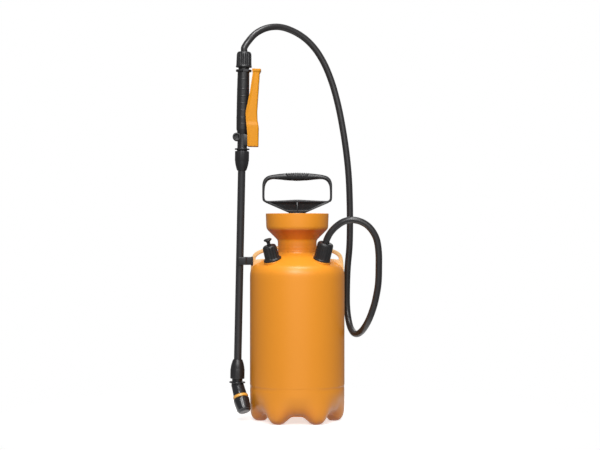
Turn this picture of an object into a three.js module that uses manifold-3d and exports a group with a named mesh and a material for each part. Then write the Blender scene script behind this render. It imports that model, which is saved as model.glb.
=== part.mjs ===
// A hand-carried compression sprayer: a blow-moulded tank with a hand pump in its neck, and a
// lance with a shut-off trigger that hangs on a clip at the tank's left shoulder, joined by a
// hose. Millimetres, +Z up, the front of the sprayer towards -Y.
import * as THREE from 'three';
import { mergeVertices } from 'three/addons/utils/BufferGeometryUtils.js';
import Module from 'manifold-3d';

const wasm = await Module();
wasm.setup();

// ---------------------------------------------------------------- driving dimensions
const GAP = 0.3;                 // between faces that touch on the real sprayer
const TANK_AXIS_X = 20;          // tank axis, from the middle of the sprayer's box without hose

const TANK_R = 90;               // outside radius of the tank
const WALL = 2.5;                // wall of the blow moulding
const TANK_SIDES = 36;
const FEET = 6;
const FOOT_FLAT = 0.18;          // share of the half pitch that is flat underneath
const FOOT_SIDE = 0.85;          // share of the half pitch where the valley is reached
const FOOT_LIFT = 14;            // height of the arch between two feet
const FOOT_INSET = 9;            // how far the valley lies inside the round body
const FOOT_TOP = 50;             // where the feet fade into the round body
const SHOULDER_Z = 276;          // end of the straight body
const NECK_R = 37;
const NECK_BORE = 33.5;
const SEAT_Z = 350;              // ledge in the funnel that the pump seals on
const RIM_Z = 395;               // funnel rim
const RIM_R = 60;

const PORT = { x: 45.5, y: -46.5, z: 306, lean: 19.5 };   // the two shoulder ports lean outwards
const SPIGOT = { radius: 11, bore: 8, top: 14 };
const PORT_BASE = 1.5;           // underside of what screws onto a port

const BARREL_R = 22;
const BARREL_BORE = 19.5;
const BARREL_FOOT_Z = 95;
const ROD_R = 6;
const ROD_TOP_Z = 394;
const PISTON_Z = 112;

const HANDLE_Y = 8;              // half thickness of the D-handle
const HUB_R = 16.5;
const HUB_Z = 377;

const LANCE_X = -116;            // lance axis at the floor
const LANCE_LEAN = 1.2;          // degrees, towards the tank at the top
const TUBE_R = 7.25;
const TUBE_BORE = 5.5;
const GRIP_R = 11.4;
const PIVOT = { x: 15, z: 533 }; // trigger pivot, in the lance's own frame
const PIN_R = 2;
const STEM_Z = 552;              // height of the shut-off valve's stem
const CHANNEL_Y = 12.2;          // half width inside the trigger's channel
const LEVER_Y = 14.5;            // half width outside

const BEND_Z = 70;               // where the nozzle's axis leaves the lance's axis
const NOZZLE_BEND = 30;
const NOZZLE_TURN = -57;
const HOSE_R = 6.3;

const deg = THREE.MathUtils.degToRad;

// ---------------------------------------------------------------- finishes
const finish = (color, roughness, metalness = 0) =>
  new THREE.MeshStandardMaterial({ color, roughness, metalness, flatShading: true });

const ORANGE = finish('#e8962d', 0.45);
const TRIGGER_ORANGE = finish('#f0a023', 0.4);
const BLACK = finish('#373739', 0.5);
const NATURAL = finish('#dedbd0', 0.5);
const RUBBER = finish('#1d1d1f', 0.8);
const HOSE_BLACK = finish('#464648', 0.4);
const STEEL = finish('#b4b8bc', 0.3, 1);

// ---------------------------------------------------------------- solids
// Positions only, shared corners merged, no flat triangles, faces outwards.
function bare(geometry) {
  const stripped = geometry.clone();
  stripped.deleteAttribute('normal');
  stripped.deleteAttribute('uv');
  stripped.clearGroups();
  const merged = mergeVertices(stripped, 1e-3);
  const corners = Array.from(merged.index.array);
  const at = (i) => new THREE.Vector3().fromBufferAttribute(merged.attributes.position, i);
  const faces = [];
  let volume = 0;
  for (let i = 0; i < corners.length; i += 3) {
    const [a, b, c] = corners.slice(i, i + 3);
    if (a === b || b === c || c === a) continue;
    volume += at(a).dot(at(b).cross(at(c)));
    faces.push([a, b, c]);
  }
  const turned = faces.map(([a, b, c]) => (volume < 0 ? [a, c, b] : [a, b, c]));
  merged.setIndex(turned.flat());
  return merged;
}

function solid(geometry) {
  const shell = bare(geometry);
  return new wasm.Manifold(new wasm.Mesh({
    numProp: 3,
    vertProperties: shell.attributes.position.array,
    triVerts: Uint32Array.from(shell.index.array),
  }));
}

function geometryOf(manifold) {
  const mesh = manifold.getMesh();
  const geometry = new THREE.BufferGeometry();
  geometry.setAttribute('position', new THREE.BufferAttribute(mesh.vertProperties, 3));
  geometry.setIndex(new THREE.BufferAttribute(mesh.triVerts, 1));
  return geometry;
}

// The solids are kept as they are from one cut to the next, so no corner moves in between.
const asSolid = (shape) => (shape.isBufferGeometry ? solid(shape) : shape);

const join = (first, ...others) =>
  others.reduce((sum, other) => sum.add(asSolid(other)), asSolid(first));

const cut = (from, ...tools) =>
  tools.reduce((rest, tool) => rest.subtract(asSolid(tool)), asSolid(from));

// A profile of [radius, height] points turned about Z. One that keeps off the axis is closed.
function turned(profile, sides = 20, startAngle = 0) {
  const points = profile.map(([r, z]) => new THREE.Vector2(r, z));
  if (profile[0][0] > 0) points.push(points[0].clone());
  return new THREE.LatheGeometry(points, sides, startAngle).rotateX(Math.PI / 2);
}

const rod = (r, z0, z1, sides) => turned([[0, z0], [r, z0], [r, z1], [0, z1]], sides);

const ring = (inner, outer, z0, z1, sides) =>
  turned([[inner, z0], [outer, z0], [outer, z1], [inner, z1]], sides);

const rodAlongX = (r, x0, x1, sides) => rod(r, x0, x1, sides).rotateY(Math.PI / 2);

const rodAlongY = (r, y0, y1, sides) => rod(r, -y1, -y0, sides).rotateX(Math.PI / 2);

// An extrusion turns its holes the right way round only where the outline runs anticlockwise.
function shapeOf(outline, hole) {
  const points = outline.map(([u, v]) => new THREE.Vector2(u, v));
  if (THREE.ShapeUtils.isClockWise(points)) points.reverse();
  const shape = new THREE.Shape(points);
  if (hole) shape.holes.push(new THREE.Path(hole.map(([u, v]) => new THREE.Vector2(u, v))));
  return shape;
}

// An outline in X and Z, from y0 to y1.
const plate = (outline, y0, y1, hole) =>
  new THREE.ExtrudeGeometry(shapeOf(outline, hole), { depth: y1 - y0, bevelEnabled: false })
    .rotateX(Math.PI / 2)
    .translate(0, y1, 0);

// An outline in X and Y, from z0 to z1.
const slab = (outline, z0, z1) =>
  new THREE.ExtrudeGeometry(shapeOf(outline), { depth: z1 - z0, bevelEnabled: false })
    .translate(0, 0, z0);

// A round bar, or a pipe where it has a bore, along a curve.
function bar(curve, radius, steps, sides, bore = 0) {
  const circle = (r) => Array.from({ length: sides }, (_, i) => {
    const a = (2 * Math.PI * i) / sides;
    return [r * Math.cos(a), r * Math.sin(a)];
  });
  const shape = shapeOf(circle(radius), bore ? circle(bore) : undefined);
  return new THREE.ExtrudeGeometry(shape, { steps, extrudePath: curve, bevelEnabled: false });
}

// A compression spring about Z, between two heights.
class Coil extends THREE.Curve {
  constructor(radius, z0, z1, turns) {
    super();
    Object.assign(this, { radius, z0, z1, turns });
  }

  getPoint(t, target = new THREE.Vector3()) {
    const a = 2 * Math.PI * this.turns * t;
    const z = THREE.MathUtils.lerp(this.z0, this.z1, t);
    return target.set(this.radius * Math.cos(a), this.radius * Math.sin(a), z);
  }
}

function spring(radius, wire, z0, z1, turns) {
  const coil = new Coil(radius, z0 + wire, z1 - wire, turns);
  return bar(coil, wire, 9 * turns, 4);
}

// Moves every corner of a geometry by a rule that changes the vector it is given.
function reshaped(geometry, rule) {
  const corners = geometry.attributes.position;
  const p = new THREE.Vector3();
  for (let i = 0; i < corners.count; i += 1) {
    p.fromBufferAttribute(corners, i);
    rule(p);
    corners.setXYZ(i, p.x, p.y, p.z);
  }
  return geometry;
}

// A hand nut: a profile whose outside is scored with V-grooves between two heights.
function ribbed(profile, ribs, depth, z0, z1, least) {
  return reshaped(turned(profile, 2 * ribs), (p) => {
    const r = Math.hypot(p.x, p.y);
    const column = Math.round(((Math.atan2(p.y, p.x) + Math.PI / 2) * ribs) / Math.PI);
    if (column % 2 === 0 || r < least || p.z < z0 || p.z > z1) return;
    p.x *= (r - depth) / r;
    p.y *= (r - depth) / r;
  });
}

// ---------------------------------------------------------------- scene graph
const sprayer = new THREE.Group();

function frame(parent, x = 0, y = 0, z = 0) {
  const group = new THREE.Group();
  group.position.set(x, y, z);
  parent.add(group);
  return group;
}

function part(name, shape, material, parent) {
  const mesh = new THREE.Mesh(geometryOf(asSolid(shape)), material);
  mesh.name = name;
  parent.add(mesh);
  return mesh;
}

// A frame on the shoulder whose +Z leans outwards from the tank's axis.
function portFrame(parent, x) {
  const group = frame(parent, x, PORT.y, PORT.z);
  const outwards = new THREE.Vector3(x, PORT.y, 0).normalize();
  const hinge = new THREE.Vector3(0, 0, 1).cross(outwards);
  group.setRotationFromAxisAngle(hinge, deg(PORT.lean));
  group.updateMatrix();
  return group;
}

const body = frame(sprayer, TANK_AXIS_X);
const outlet = portFrame(body, PORT.x);
const relief = portFrame(body, -PORT.x);
const lance = frame(body, LANCE_X);
lance.rotation.y = deg(LANCE_LEAN);
lance.updateMatrix();
const swivel = frame(lance, 0, 0, BEND_Z);
swivel.rotation.z = deg(NOZZLE_TURN);
const nozzle = frame(swivel);
nozzle.rotation.y = -deg(NOZZLE_BEND);

// ---------------------------------------------------------------- tank
// How far a place at this angle belongs to a foot: 1 on the foot's flat, 0 in the valley.
function footShare(angle) {
  const half = Math.PI / FEET;
  const fromFront = angle + Math.PI / 2;
  const off = Math.abs(THREE.MathUtils.euclideanModulo(fromFront, 2 * half) - half);
  return 1 - THREE.MathUtils.smoothstep(off / half, FOOT_FLAT, FOOT_SIDE);
}

// Lifts and draws in the tank's base between the feet.
function shapeFeet(p) {
  if (p.z >= FOOT_TOP) return;
  const r = Math.hypot(p.x, p.y);
  if (r === 0) return;
  const valley = (1 - footShare(Math.atan2(p.y, p.x))) * (1 - p.z / FOOT_TOP);
  const drawn = r - FOOT_INSET * valley * THREE.MathUtils.smoothstep(r, 68, 86);
  p.x *= drawn / r;
  p.y *= drawn / r;
  p.z += FOOT_LIFT * valley * THREE.MathUtils.smoothstep(r, 38, 60);
}

function tankShell() {
  const outside = [
    [0, 20], [46, 17], [55, 8], [61, 0], [77, 0], [83.5, 2.5], [88, 9],
    [TANK_R - 0.6, 20], [TANK_R - 0.6, 34], [TANK_R - 0.6, FOOT_TOP], [TANK_R - 0.6, 65],
    [TANK_R, 67], [TANK_R, SHOULDER_Z], [89.4, 283], [88, 288], [85.8, 292.7], [82, 297],
    [66, 306], [50, 313], [40, 317.5], [NECK_R, 321], [NECK_R, 344], [RIM_R - 1, 366],
    [RIM_R, RIM_Z],
  ];
  const inside = [
    [RIM_R - 2.6, RIM_Z], [56.5, 367.5], [39, SEAT_Z], [NECK_BORE, SEAT_Z], [NECK_BORE, 321],
    [38.5, 314.8], [49.5, 310.3], [65, 303.4], [80.3, 294.6], [86, 285.5],
    [TANK_R - WALL, SHOULDER_Z], [86.9, FOOT_TOP], [86.9, 21], [84.5, 9], [76.4, 2.5],
    [62.2, 2.5], [57, 10], [48, 19.2], [0, 22.5],
  ];
  // Two columns of corners bound each foot's flat.
  return reshaped(turned([...outside, ...inside], TANK_SIDES, Math.PI / TANK_SIDES), shapeFeet);
}

// A bar from the neck over the shoulder's edge, with the strap's eye below it.
function strapLug(side) {
  const outer = [
    [35, 333], [50, 331.5], [60, 329.3], [70.4, 325.8], [79, 322], [85, 316], [87.6, 306],
    [88.6, 292], [89, 284],
  ];
  const inner = [
    [86.6, 284], [85, 291], [83, 298], [81, 308], [76.4, 315.5], [69, 320], [58, 323.5],
    [48, 325.5], [35, 327],
  ];
  const outline = [...outer, ...inner].map(([x, z]) => [side * x, z]);
  return plate(outline, -6, 6);
}

function tank() {
  const inPort = (geometry, port) => geometry.applyMatrix4(port.matrix);
  const ports = [outlet, relief];
  const pads = ports.map((port) => inPort(rod(17.5, -5, 1.2, 20), port));
  const facings = ports.map((port) => inPort(rod(17.3, 1.2, 20, 20), port));
  const spigots = ports.map((port) => inPort(rod(SPIGOT.radius, -4.5, SPIGOT.top, 20), port));
  const bores = ports.map((port) => inPort(rod(SPIGOT.bore, -12, 20, 14), port));
  const blank = join(tankShell(), strapLug(1), strapLug(-1), ...pads);
  return cut(join(cut(blank, ...facings), ...spigots), ...bores);
}

part('tank', tank(), ORANGE, body);

// ---------------------------------------------------------------- outlet port
const TAIL_SEAT = SPIGOT.top + 2.4;   // underside of the hose tail's flange
const OUTLET_NUT_TOP = 36;

function outletNut() {
  const shoulder = TAIL_SEAT + 3;
  const profile = [
    [SPIGOT.radius + 0.4, PORT_BASE], [16.5, PORT_BASE], [16.5, 3.8], [15.3, 5], [15.3, 31.5],
    [14.3, 34.4], [11.8, OUTLET_NUT_TOP], [HOSE_R + 0.4, OUTLET_NUT_TOP],
    [HOSE_R + 0.4, shoulder], [SPIGOT.radius + 0.4, shoulder],
  ];
  return ribbed(profile, 11, 0.8, 4.5, 32, 13);
}

// A hose tail: a flange, a barbed stem above it and a plain stem below it.
function hoseTail(seat, top, bottom) {
  const barbs = [2, 1, 0].flatMap((i) => {
    const z = top - 4 - 4 * i;
    return [[3.6, z], [4.4, z], [3.6, z + 4]];
  });
  return turned([
    [2.4, bottom], [4.5, bottom], [4.5, seat], [10.6, seat], [10.6, seat + 2.4],
    [3.6, seat + 2.4], ...barbs, [2.4, top],
  ], 14);
}

part('outlet_nut', outletNut(), BLACK, outlet);
part('outlet_gasket', ring(5, 10.6, SPIGOT.top + GAP, TAIL_SEAT - GAP, 14), RUBBER, outlet);
part('tank_hose_tail', hoseTail(TAIL_SEAT, OUTLET_NUT_TOP - 1, -5), NATURAL, outlet);

const dipTop = new THREE.Vector3(0, 0, -5 - GAP).applyMatrix4(outlet.matrix);
const dipBend = new THREE.Vector3(0, 0, -14).applyMatrix4(outlet.matrix);
const DIP_FOOT_Z = 42;
const dipCurve = new THREE.CatmullRomCurve3([
  dipTop, dipBend, new THREE.Vector3(40, -41, 275), new THREE.Vector3(39.5, -40.5, 180),
  new THREE.Vector3(39.5, -40.5, DIP_FOOT_Z),
]);
part('dip_tube', bar(dipCurve, 4.3, 8, 8, 3), NATURAL, body);
const strainer = frame(body, 39.5, -40.5, 0);
part('dip_strainer', turned([
  [0, 28], [6, 28], [8, 30], [8, 38], [6.5, DIP_FOOT_Z - GAP], [2.8, DIP_FOOT_Z - GAP], [2.8, 34],
  [0, 34],
], 16), NATURAL, strainer);

// ---------------------------------------------------------------- relief valve
const VALVE_SEAT = 18.8;         // top of the plate that the seal closes
const VALVE_TOP = 31;
const VALVE_ROOF = 29;
const STEM_R = 3.25;

function reliefBody() {
  const profile = [
    [SPIGOT.radius + 0.4, PORT_BASE], [16, PORT_BASE], [16, 3.8], [13.5, 5.4], [13.5, 25.5],
    [12.3, 29.4], [9.5, VALVE_TOP], [STEM_R + 0.4, VALVE_TOP], [STEM_R + 0.4, VALVE_ROOF],
    [9, VALVE_ROOF], [9, VALVE_SEAT], [4.4, VALVE_SEAT], [4.4, 16.3], [SPIGOT.radius + 0.4, 16.3],
  ];
  return ribbed(profile, 10, 0.9, 5, 30, 12);
}

const KNOB_PROFILE = [
  [0, 14], [STEM_R, 14], [STEM_R, 21.4], [7, 21.4], [7, 23], [STEM_R, 23], [STEM_R, 35.5],
  [3.8, 38.5], [7.2, 40.2], [7.85, 41.4], [7.2, 43], [4, 43.7], [0, 43.8],
];

part('relief_body', reliefBody(), BLACK, relief);
part('relief_gasket', ring(8, 10.6, SPIGOT.top + GAP, 16, 14), RUBBER, relief);
part('relief_knob', turned(KNOB_PROFILE, 16), BLACK, relief);
part('relief_seal', ring(STEM_R + GAP, 7, VALVE_SEAT + GAP, 21.1, 14), RUBBER, relief);
part('relief_spring', spring(5.4, 0.5, 23 + GAP, VALVE_ROOF - GAP, 3), STEEL, relief);

// ---------------------------------------------------------------- lance clip
// Two jaws towards -X hold the lance's tube, and two cheeks hold the left strap lug.
function lanceClip() {
  const jaw = TUBE_R + 0.6;
  const half = [
    [-112, jaw], [-112.8, jaw + 1.3], [-112, jaw + 2.6], [-98, jaw + 2.6], [-96, 8.8],
    [-84, 8.8], [-84, 6.4], [-90.2, 6.4],
  ];
  const throat = [[-101, 4], [-100, jaw - 1]];
  const outline = [...throat, ...half];
  const mirrored = outline.map(([x, y]) => [x, -y]).reverse();
  return slab([...outline, ...mirrored], 297, 312);
}

part('lance_clip', lanceClip(), BLACK, body);

// ---------------------------------------------------------------- pump
const FLANGE_Z = SEAT_Z + 3.6;   // underside of the pump head's flange
const HEAD_Z = FLANGE_Z + 4.4;   // its top
const COLLAR_Z = 368;            // top of the threaded collar that the cap screws onto

function pumpBarrel() {
  const tube = turned([
    [3.2, BARREL_FOOT_Z], [BARREL_R, BARREL_FOOT_Z], [BARREL_R, 347], [30.2, 347], [30.2, 326],
    [NECK_BORE - 0.4, 326], [NECK_BORE - 0.4, FLANGE_Z], [38.5, FLANGE_Z], [38.5, HEAD_Z],
    [24, HEAD_Z], [24, COLLAR_Z], [BARREL_BORE, COLLAR_Z], [BARREL_BORE, BARREL_FOOT_Z + 3],
    [3.2, BARREL_FOOT_Z + 3],
  ]);
  const airPorts = [0, 1, 2, 3].map((i) =>
    rod(2, BARREL_FOOT_Z - 2, BARREL_FOOT_Z + 5, 8).translate(10, 0, 0).rotateZ((i * Math.PI) / 2));
  return cut(tube, ...airPorts);
}

function footValve() {
  const z = BARREL_FOOT_Z;
  return turned([
    [0, z - 3.4], [8, z - 3], [14, z - 1.3], [14, z - GAP], [2.9, z - GAP], [2.9, z + 3.4],
      [4.6, z + 3.4], [3.4, z + 6], [0, z + 6.6],
  ], 14);
}

function pumpCap() {
  const base = HEAD_Z + GAP;
  const skirt = turned([
    [24.4, base], [27.5, base], [27.5, 371.5], [25.5, 374], [9.4, 374], [9.4, 369],
    [24.4, 369],
  ]);
  const wings = [0, 1, 2, 3].map((i) => {
    const wing = new THREE.BoxGeometry(8, 4, 9).translate(29.5, 0, 365);
    return wing.rotateZ(Math.PI / 4 + (i * Math.PI) / 2);
  });
  return join(skirt, ...wings);
}

part('pump_seal_ring', ring(34, 38.3, SEAT_Z + GAP, FLANGE_Z - GAP), RUBBER, body);
part('pump_barrel', pumpBarrel(), BLACK, body);
part('foot_valve', footValve(), RUBBER, body);
part('pump_cap', pumpCap(), BLACK, body);
part('rod_bush', turned([
  [ROD_R + GAP, 366.5], [9.1, 366.5], [9.1, 374 + GAP], [11.5, 374 + GAP], [11.5, 376],
  [ROD_R + GAP, 376],
], 16), NATURAL, body);
part('piston', turned([
  [4.3, PISTON_Z], [18.9, PISTON_Z], [18.9, PISTON_Z + 3], [12, PISTON_Z + 3],
  [12, PISTON_Z + 7], [18.9, PISTON_Z + 7], [18.9, PISTON_Z + 10], [4.3, PISTON_Z + 10],
], 20), NATURAL, body);
part('piston_cup', turned([
  [4.3, PISTON_Z - 3], [15, PISTON_Z - 3], [17.6, PISTON_Z - 6.5], [19.1, PISTON_Z - 6.5],
  [18.6, PISTON_Z - GAP], [4.3, PISTON_Z - GAP],
], 20), RUBBER, body);

function pumpRod() {
  const shaft = turned([
    [0, PISTON_Z - 7], [4, PISTON_Z - 7], [4, PISTON_Z + 10 + GAP], [ROD_R, PISTON_Z + 10 + GAP],
    [ROD_R, ROD_TOP_Z], [0, ROD_TOP_Z],
  ], 20);
  return cut(shaft, rodAlongY(PIN_R + GAP, -10, 10, 10).translate(0, 0, 386));
}

part('pump_rod', pumpRod(), BLACK, body);

// The D-handle: a frame about the hand's window, on a webbed gusset and a hub.
function pumpHandle() {
  const outerHalf = [
    [0, 472.6], [20, 472], [37, 470.4], [50, 468.5], [58, 466], [64, 460.5], [66.7, 452],
    [66.7, 422.5], [65, 418], [59.4, 415.3], [HUB_R + 0.5, 397], [HUB_R, 392],
  ];
  const windowHalf = [
    [0, 456.8], [20, 458], [37, 460], [49.5, 460.4], [57.5, 456.3], [62.2, 447], [62.5, 424],
    [60.8, 420.3], [57, 419],
  ];
  const whole = (half) => [...half, ...half.map(([x, z]) => [-x, z]).reverse()];
  const frameOutline = whole(outerHalf);
  frameOutline.pop();
  const windowOutline = whole(windowHalf);
  windowOutline.pop();
  const frameSolid = plate(frameOutline, -HANDLE_Y, HANDLE_Y, windowOutline);
  const pockets = [-1, 1].flatMap((side) => [-1, 1].map((face) => {
    const corner = [[2, 415.5], [52, 415.5], [19, 400.5], [2, 400.5]];
    const outline = corner.map(([x, z]) => [side * x, z]);
    return face > 0 ? plate(outline, 2, HANDLE_Y + 1) : plate(outline, -HANDLE_Y - 1, -2);
  }));
  const hub = rod(HUB_R, HUB_Z, 399, 24);
  const socket = rod(ROD_R + GAP, HUB_Z - 1, ROD_TOP_Z + GAP, 20);
  const pinHole = rodAlongY(PIN_R + GAP, -20, 20, 10).translate(0, 0, 386);
  return cut(join(cut(frameSolid, ...pockets), hub), socket, pinHole);
}

part('pump_handle', pumpHandle(), BLACK, body);
part('handle_pin', rodAlongY(PIN_R, -15.5, 15.5, 10).translate(0, 0, 386), STEEL, body);

// ---------------------------------------------------------------- lance
const GRIP_TOP = 671;
const HOSE_NUT = { bottom: 674, top: 704 };
const SPIGOT_FOOT = 495;         // lower end of the grip's threaded spigot
const TUBE_TOP = 491;
const TUBE_FOOT = 100;
const ELBOW_TOP = 96;

function gripBody() {
  const outside = turned([
    [2.6, SPIGOT_FOOT], [9.9, SPIGOT_FOOT], [9.9, 516.5], [14, 516.5], [14, 519], [9.3, 519.6],
    [9.3, 546], [11, 556], [GRIP_R, 575], [GRIP_R, 630], [11, 665], [15, 665.6], [15, 669.4],
    [9.8, 669.6], [9.8, GRIP_TOP], [6.5, GRIP_TOP], [6.5, 566], [2.6, 562],
  ], 20);
  const lug = plate([[0, 524], [18, 524], [20.5, 527], [20.5, 538], [13, 544.5], [0, 548]], -9, 9);
  const boss = rodAlongY(8, -8.5, 8.5, 16).translate(-10.5, 0, 541);
  const gland = rodAlongX(6.4, 0, 14, 16).translate(0, 0, STEM_Z);
  const recesses = [-9.5, 5.5].map((y) => rodAlongY(5, y, y + 4, 12).translate(-10.5, 0, 541));
  const way = rod(2.6, SPIGOT_FOOT - 1, 563, 10);
  const chamber = rodAlongX(4.5, -9, 15, 16).translate(0, 0, STEM_Z);
  const pinHole = rodAlongY(PIN_R + GAP, -20, 20, 12).translate(PIVOT.x, 0, PIVOT.z);
  const flats = [-1, 1].map((side) => {
    const near = side > 0 ? CHANNEL_Y - 0.5 : -20;
    return new THREE.BoxGeometry(20, 20 - CHANNEL_Y + 0.5, 8)
      .translate(9, near + (20 - CHANNEL_Y + 0.5) / 2, 667.5);
  });
  return cut(join(outside, lug, boss, gland), ...recesses, way, chamber, pinHole, ...flats);
}

// A channel open towards the grip: its side view, with the inside cut out.
function triggerLever() {
  const flangeEdge = [
    [10.3, 523], [9.4, 550], [6.9, 570], [5.5, 587], [13.1, 628], [17.6, 664], [16.3, 666],
    [16.3, 671],
  ];
  const webFace = [
    [32.9, 671], [32.9, 666], [30.8, 664.5], [29, 628], [27.2, 590], [28, 575], [30.8, 560],
    [30.8, 523],
  ];
  const outside = plate([...flangeEdge, ...webFace], -LEVER_Y, LEVER_Y);
  const inner = [
    [28.4, 520], [28.4, 559.6], [25.5, 575], [24.7, 590], [26.5, 628], [28.3, 664], [28.3, 675],
  ];
  const channel = plate([[-5, 675], [-5, 520], ...inner], -CHANNEL_Y, CHANNEL_Y);
  const pinHole = rodAlongY(PIN_R + GAP, -20, 20, 12).translate(PIVOT.x, 0, PIVOT.z);
  return cut(outside, channel, pinHole);
}

function ribbedTopNut(bottom, top, radius, bore) {
  const profile = [
    [bore, bottom], [radius, bottom], [radius, top - 4.5], [radius - 1, top - 1.6],
    [radius - 3.4, top], [HOSE_R + 0.4, top], [HOSE_R + 0.4, bottom + 4.4], [bore, bottom + 4.4],
  ];
  return ribbed(profile, 11, 0.8, bottom - 1, top - 4, radius - 2);
}

// A nut on the lance's tube: a ribbed skirt over the thread and a taper down to the tube.
function taperNut(skirtEnd, skirtTop, taperEnd, shoulder, radius) {
  const way = Math.sign(taperEnd - skirtEnd);
  const profile = [
    [10.3, skirtEnd], [radius, skirtEnd], [radius, skirtTop], [radius - 1, skirtTop + way * 5],
    [TUBE_R + 1.4, taperEnd], [TUBE_R + 0.4, taperEnd], [TUBE_R + 0.4, shoulder],
    [10.3, shoulder],
  ];
  const low = Math.min(skirtEnd, skirtTop) - 1;
  const high = Math.max(skirtEnd, skirtTop) + 1;
  return ribbed(profile, 10, 0.7, low, high, radius - 1);
}

part('grip_body', gripBody(), BLACK, lance);
part('grip_filter', ring(3.4, 5.8, 568, 662, 14), NATURAL, lance);
part('lance_hose_tail', hoseTail(GRIP_TOP + GAP, HOSE_NUT.top - 1, 664), BLACK, lance);
part('hose_nut', ribbedTopNut(HOSE_NUT.bottom, HOSE_NUT.top, 15.2, 11), BLACK, lance);
part('trigger_lever', triggerLever(), TRIGGER_ORANGE, lance);
part('trigger_pin', rodAlongY(PIN_R, -LEVER_Y, LEVER_Y, 12)
  .translate(PIVOT.x, 0, PIVOT.z), STEEL, lance);

const STEM_HEAD_X = -4.5;
const stem = frame(lance, 0, 0, STEM_Z);
part('valve_stem', turned([
  [0, STEM_HEAD_X], [4, STEM_HEAD_X], [4, STEM_HEAD_X + 2], [2, STEM_HEAD_X + 2], [2, 26],
  [3.2, 26.5], [3.2, 27.9], [0, 27.9],
], 14).rotateY(Math.PI / 2), STEEL, stem);
part('stem_gland', turned([
  [2.4, 8.5], [4.1, 8.5], [4.1, 14 + GAP], [6.2, 14 + GAP], [6.2, 16.5], [2.4, 16.5],
], 16).rotateY(Math.PI / 2), STEEL, stem);
part('stem_seal', ring(2.3, 4.1, 5.4, 8.2, 14).rotateY(Math.PI / 2), RUBBER, stem);
part('valve_spring', spring(3.2, 0.4, -8.8, STEM_HEAD_X - GAP, 3).rotateY(Math.PI / 2), STEEL, stem);

part('upper_lance_nut', taperNut(514, 496, 477, TUBE_TOP - 3 - GAP, 13.5), BLACK, lance);
part('upper_seal', ring(TUBE_BORE, 9.5, TUBE_TOP + GAP, SPIGOT_FOOT - GAP, 14), RUBBER, lance);
part('lance_tube', turned([
  [TUBE_BORE, TUBE_FOOT], [9.6, TUBE_FOOT], [9.6, TUBE_FOOT + 3], [TUBE_R, TUBE_FOOT + 3],
  [TUBE_R, TUBE_TOP - 3], [9.6, TUBE_TOP - 3], [9.6, TUBE_TOP], [TUBE_BORE, TUBE_TOP],
]), BLACK, lance);
part('lower_seal', ring(TUBE_BORE, 9.5, ELBOW_TOP + GAP, TUBE_FOOT - GAP, 14), RUBBER, lance);
part('lower_lance_nut', taperNut(80, 98, 116.5, TUBE_FOOT + 3 + GAP, 13.6), BLACK, lance);

// ---------------------------------------------------------------- nozzle
// In the nozzle's frame the spray leaves along -Z, and the bend is at its origin.
const ELBOW_END = -24;
const CORE_SEAT = -40;
const CAP_TOP = -31;
const CAP_TIP = -58;

function nozzleElbow() {
  const upright = turned([
    [0, -4], [11, -4], [11, 3], [15, 3.4], [15, 5.4], [10, 6], [9.9, 26], [0, 26],
  ], 18);
  const leaning = turned([
    [0, 4], [11.2, 2], [13, ELBOW_END], [9.2, ELBOW_END], [9.2, CAP_TOP - 1], [6, CAP_TOP - 1],
    [6, CORE_SEAT], [0, CORE_SEAT],
  ], 18).rotateY(-deg(NOZZLE_BEND));
  const knuckle = new THREE.SphereGeometry(11.4, 14, 8).rotateX(Math.PI / 2);
  const straightBore = rod(2.5, 0, 30, 10);
  const leaningBore = rod(2.5, CORE_SEAT - 2, 1.5, 10).rotateY(-deg(NOZZLE_BEND));
  return cut(join(upright, leaning, knuckle), straightBore, leaningBore);
}

part('nozzle_elbow', nozzleElbow(), BLACK, swivel);
part('nozzle_ring', turned([
  [9.5, -30.2], [13.6, -30.2], [14.5, -29.2], [14.5, -25.6], [13.6, -24.4], [9.5, -24.4],
]), TRIGGER_ORANGE, nozzle);
part('nozzle_o_ring', ring(6.3, 8.2, -38, -35.6, 14), RUBBER, nozzle);
part('swirl_core', turned([
  [0, -51.5], [3.6, -50], [3.6, CORE_SEAT - GAP], [0, CORE_SEAT - GAP],
], 14), NATURAL, nozzle);
part('nozzle_cap', ribbed([
  [0.8, CAP_TIP], [9.4, CAP_TIP], [11, CAP_TIP + 1.8], [13.4, -42], [15, -33], [14.4, CAP_TOP],
  [9.7, CAP_TOP], [9.7, -34.5], [8.6, -34.5], [8.6, -42], [6.2, -46], [6.2, -54.5],
  [0.8, -54.5],
], 10, 0.6, -45, -32, 12), BLACK, nozzle);

// ---------------------------------------------------------------- hose
// The route from the outlet nut to the nut on the lance: over to the right, down in front of
// its own rising strand, round a loop whose plane stands oblique, up behind the tank's right
// side and over to the lance.
const hoseStart = (z) => new THREE.Vector3(0, 0, z).applyMatrix4(outlet.matrix);
const hoseEnd = (z) => new THREE.Vector3(0, 0, z).applyMatrix4(lance.matrix);
const HOSE_ROUTE = [
  [60.5, -60, 359], [70, -62.5, 370.5], [84, -65, 379.5], [100, -67, 383], [117, -67.5, 380.5],
  [131.5, -67, 373], [142.5, -66.5, 360.5], [149, -65.5, 345], [152, -64, 322],
  [152.5, -62, 298], [151.5, -58.5, 263], [147, -54, 235], [142.5, -50, 217],
  [134.5, -45, 195], [125.5, -31.5, 177.5], [117, -11.5, 167], [112, 2, 165],
  [107.5, 15.5, 167], [102, 35.5, 177.5], [98.5, 49, 195], [96.5, 54, 217], [96.5, 55, 250],
  [98, 55, 290], [101.5, 55, 330], [102.5, 55, 373], [102, 55, 421], [100, 55, 468],
  [95.5, 56, 514], [88.5, 57, 561], [79.5, 58, 607], [67, 58, 652], [52, 56, 688],
  [35, 53, 715], [15, 48, 735], [-9, 41.5, 749], [-34, 33, 755.5], [-58, 21, 752],
  [-78, 10.5, 741], [-91, 3.5, 727],
].map(([x, y, z]) => new THREE.Vector3(x, y, z));
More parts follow.
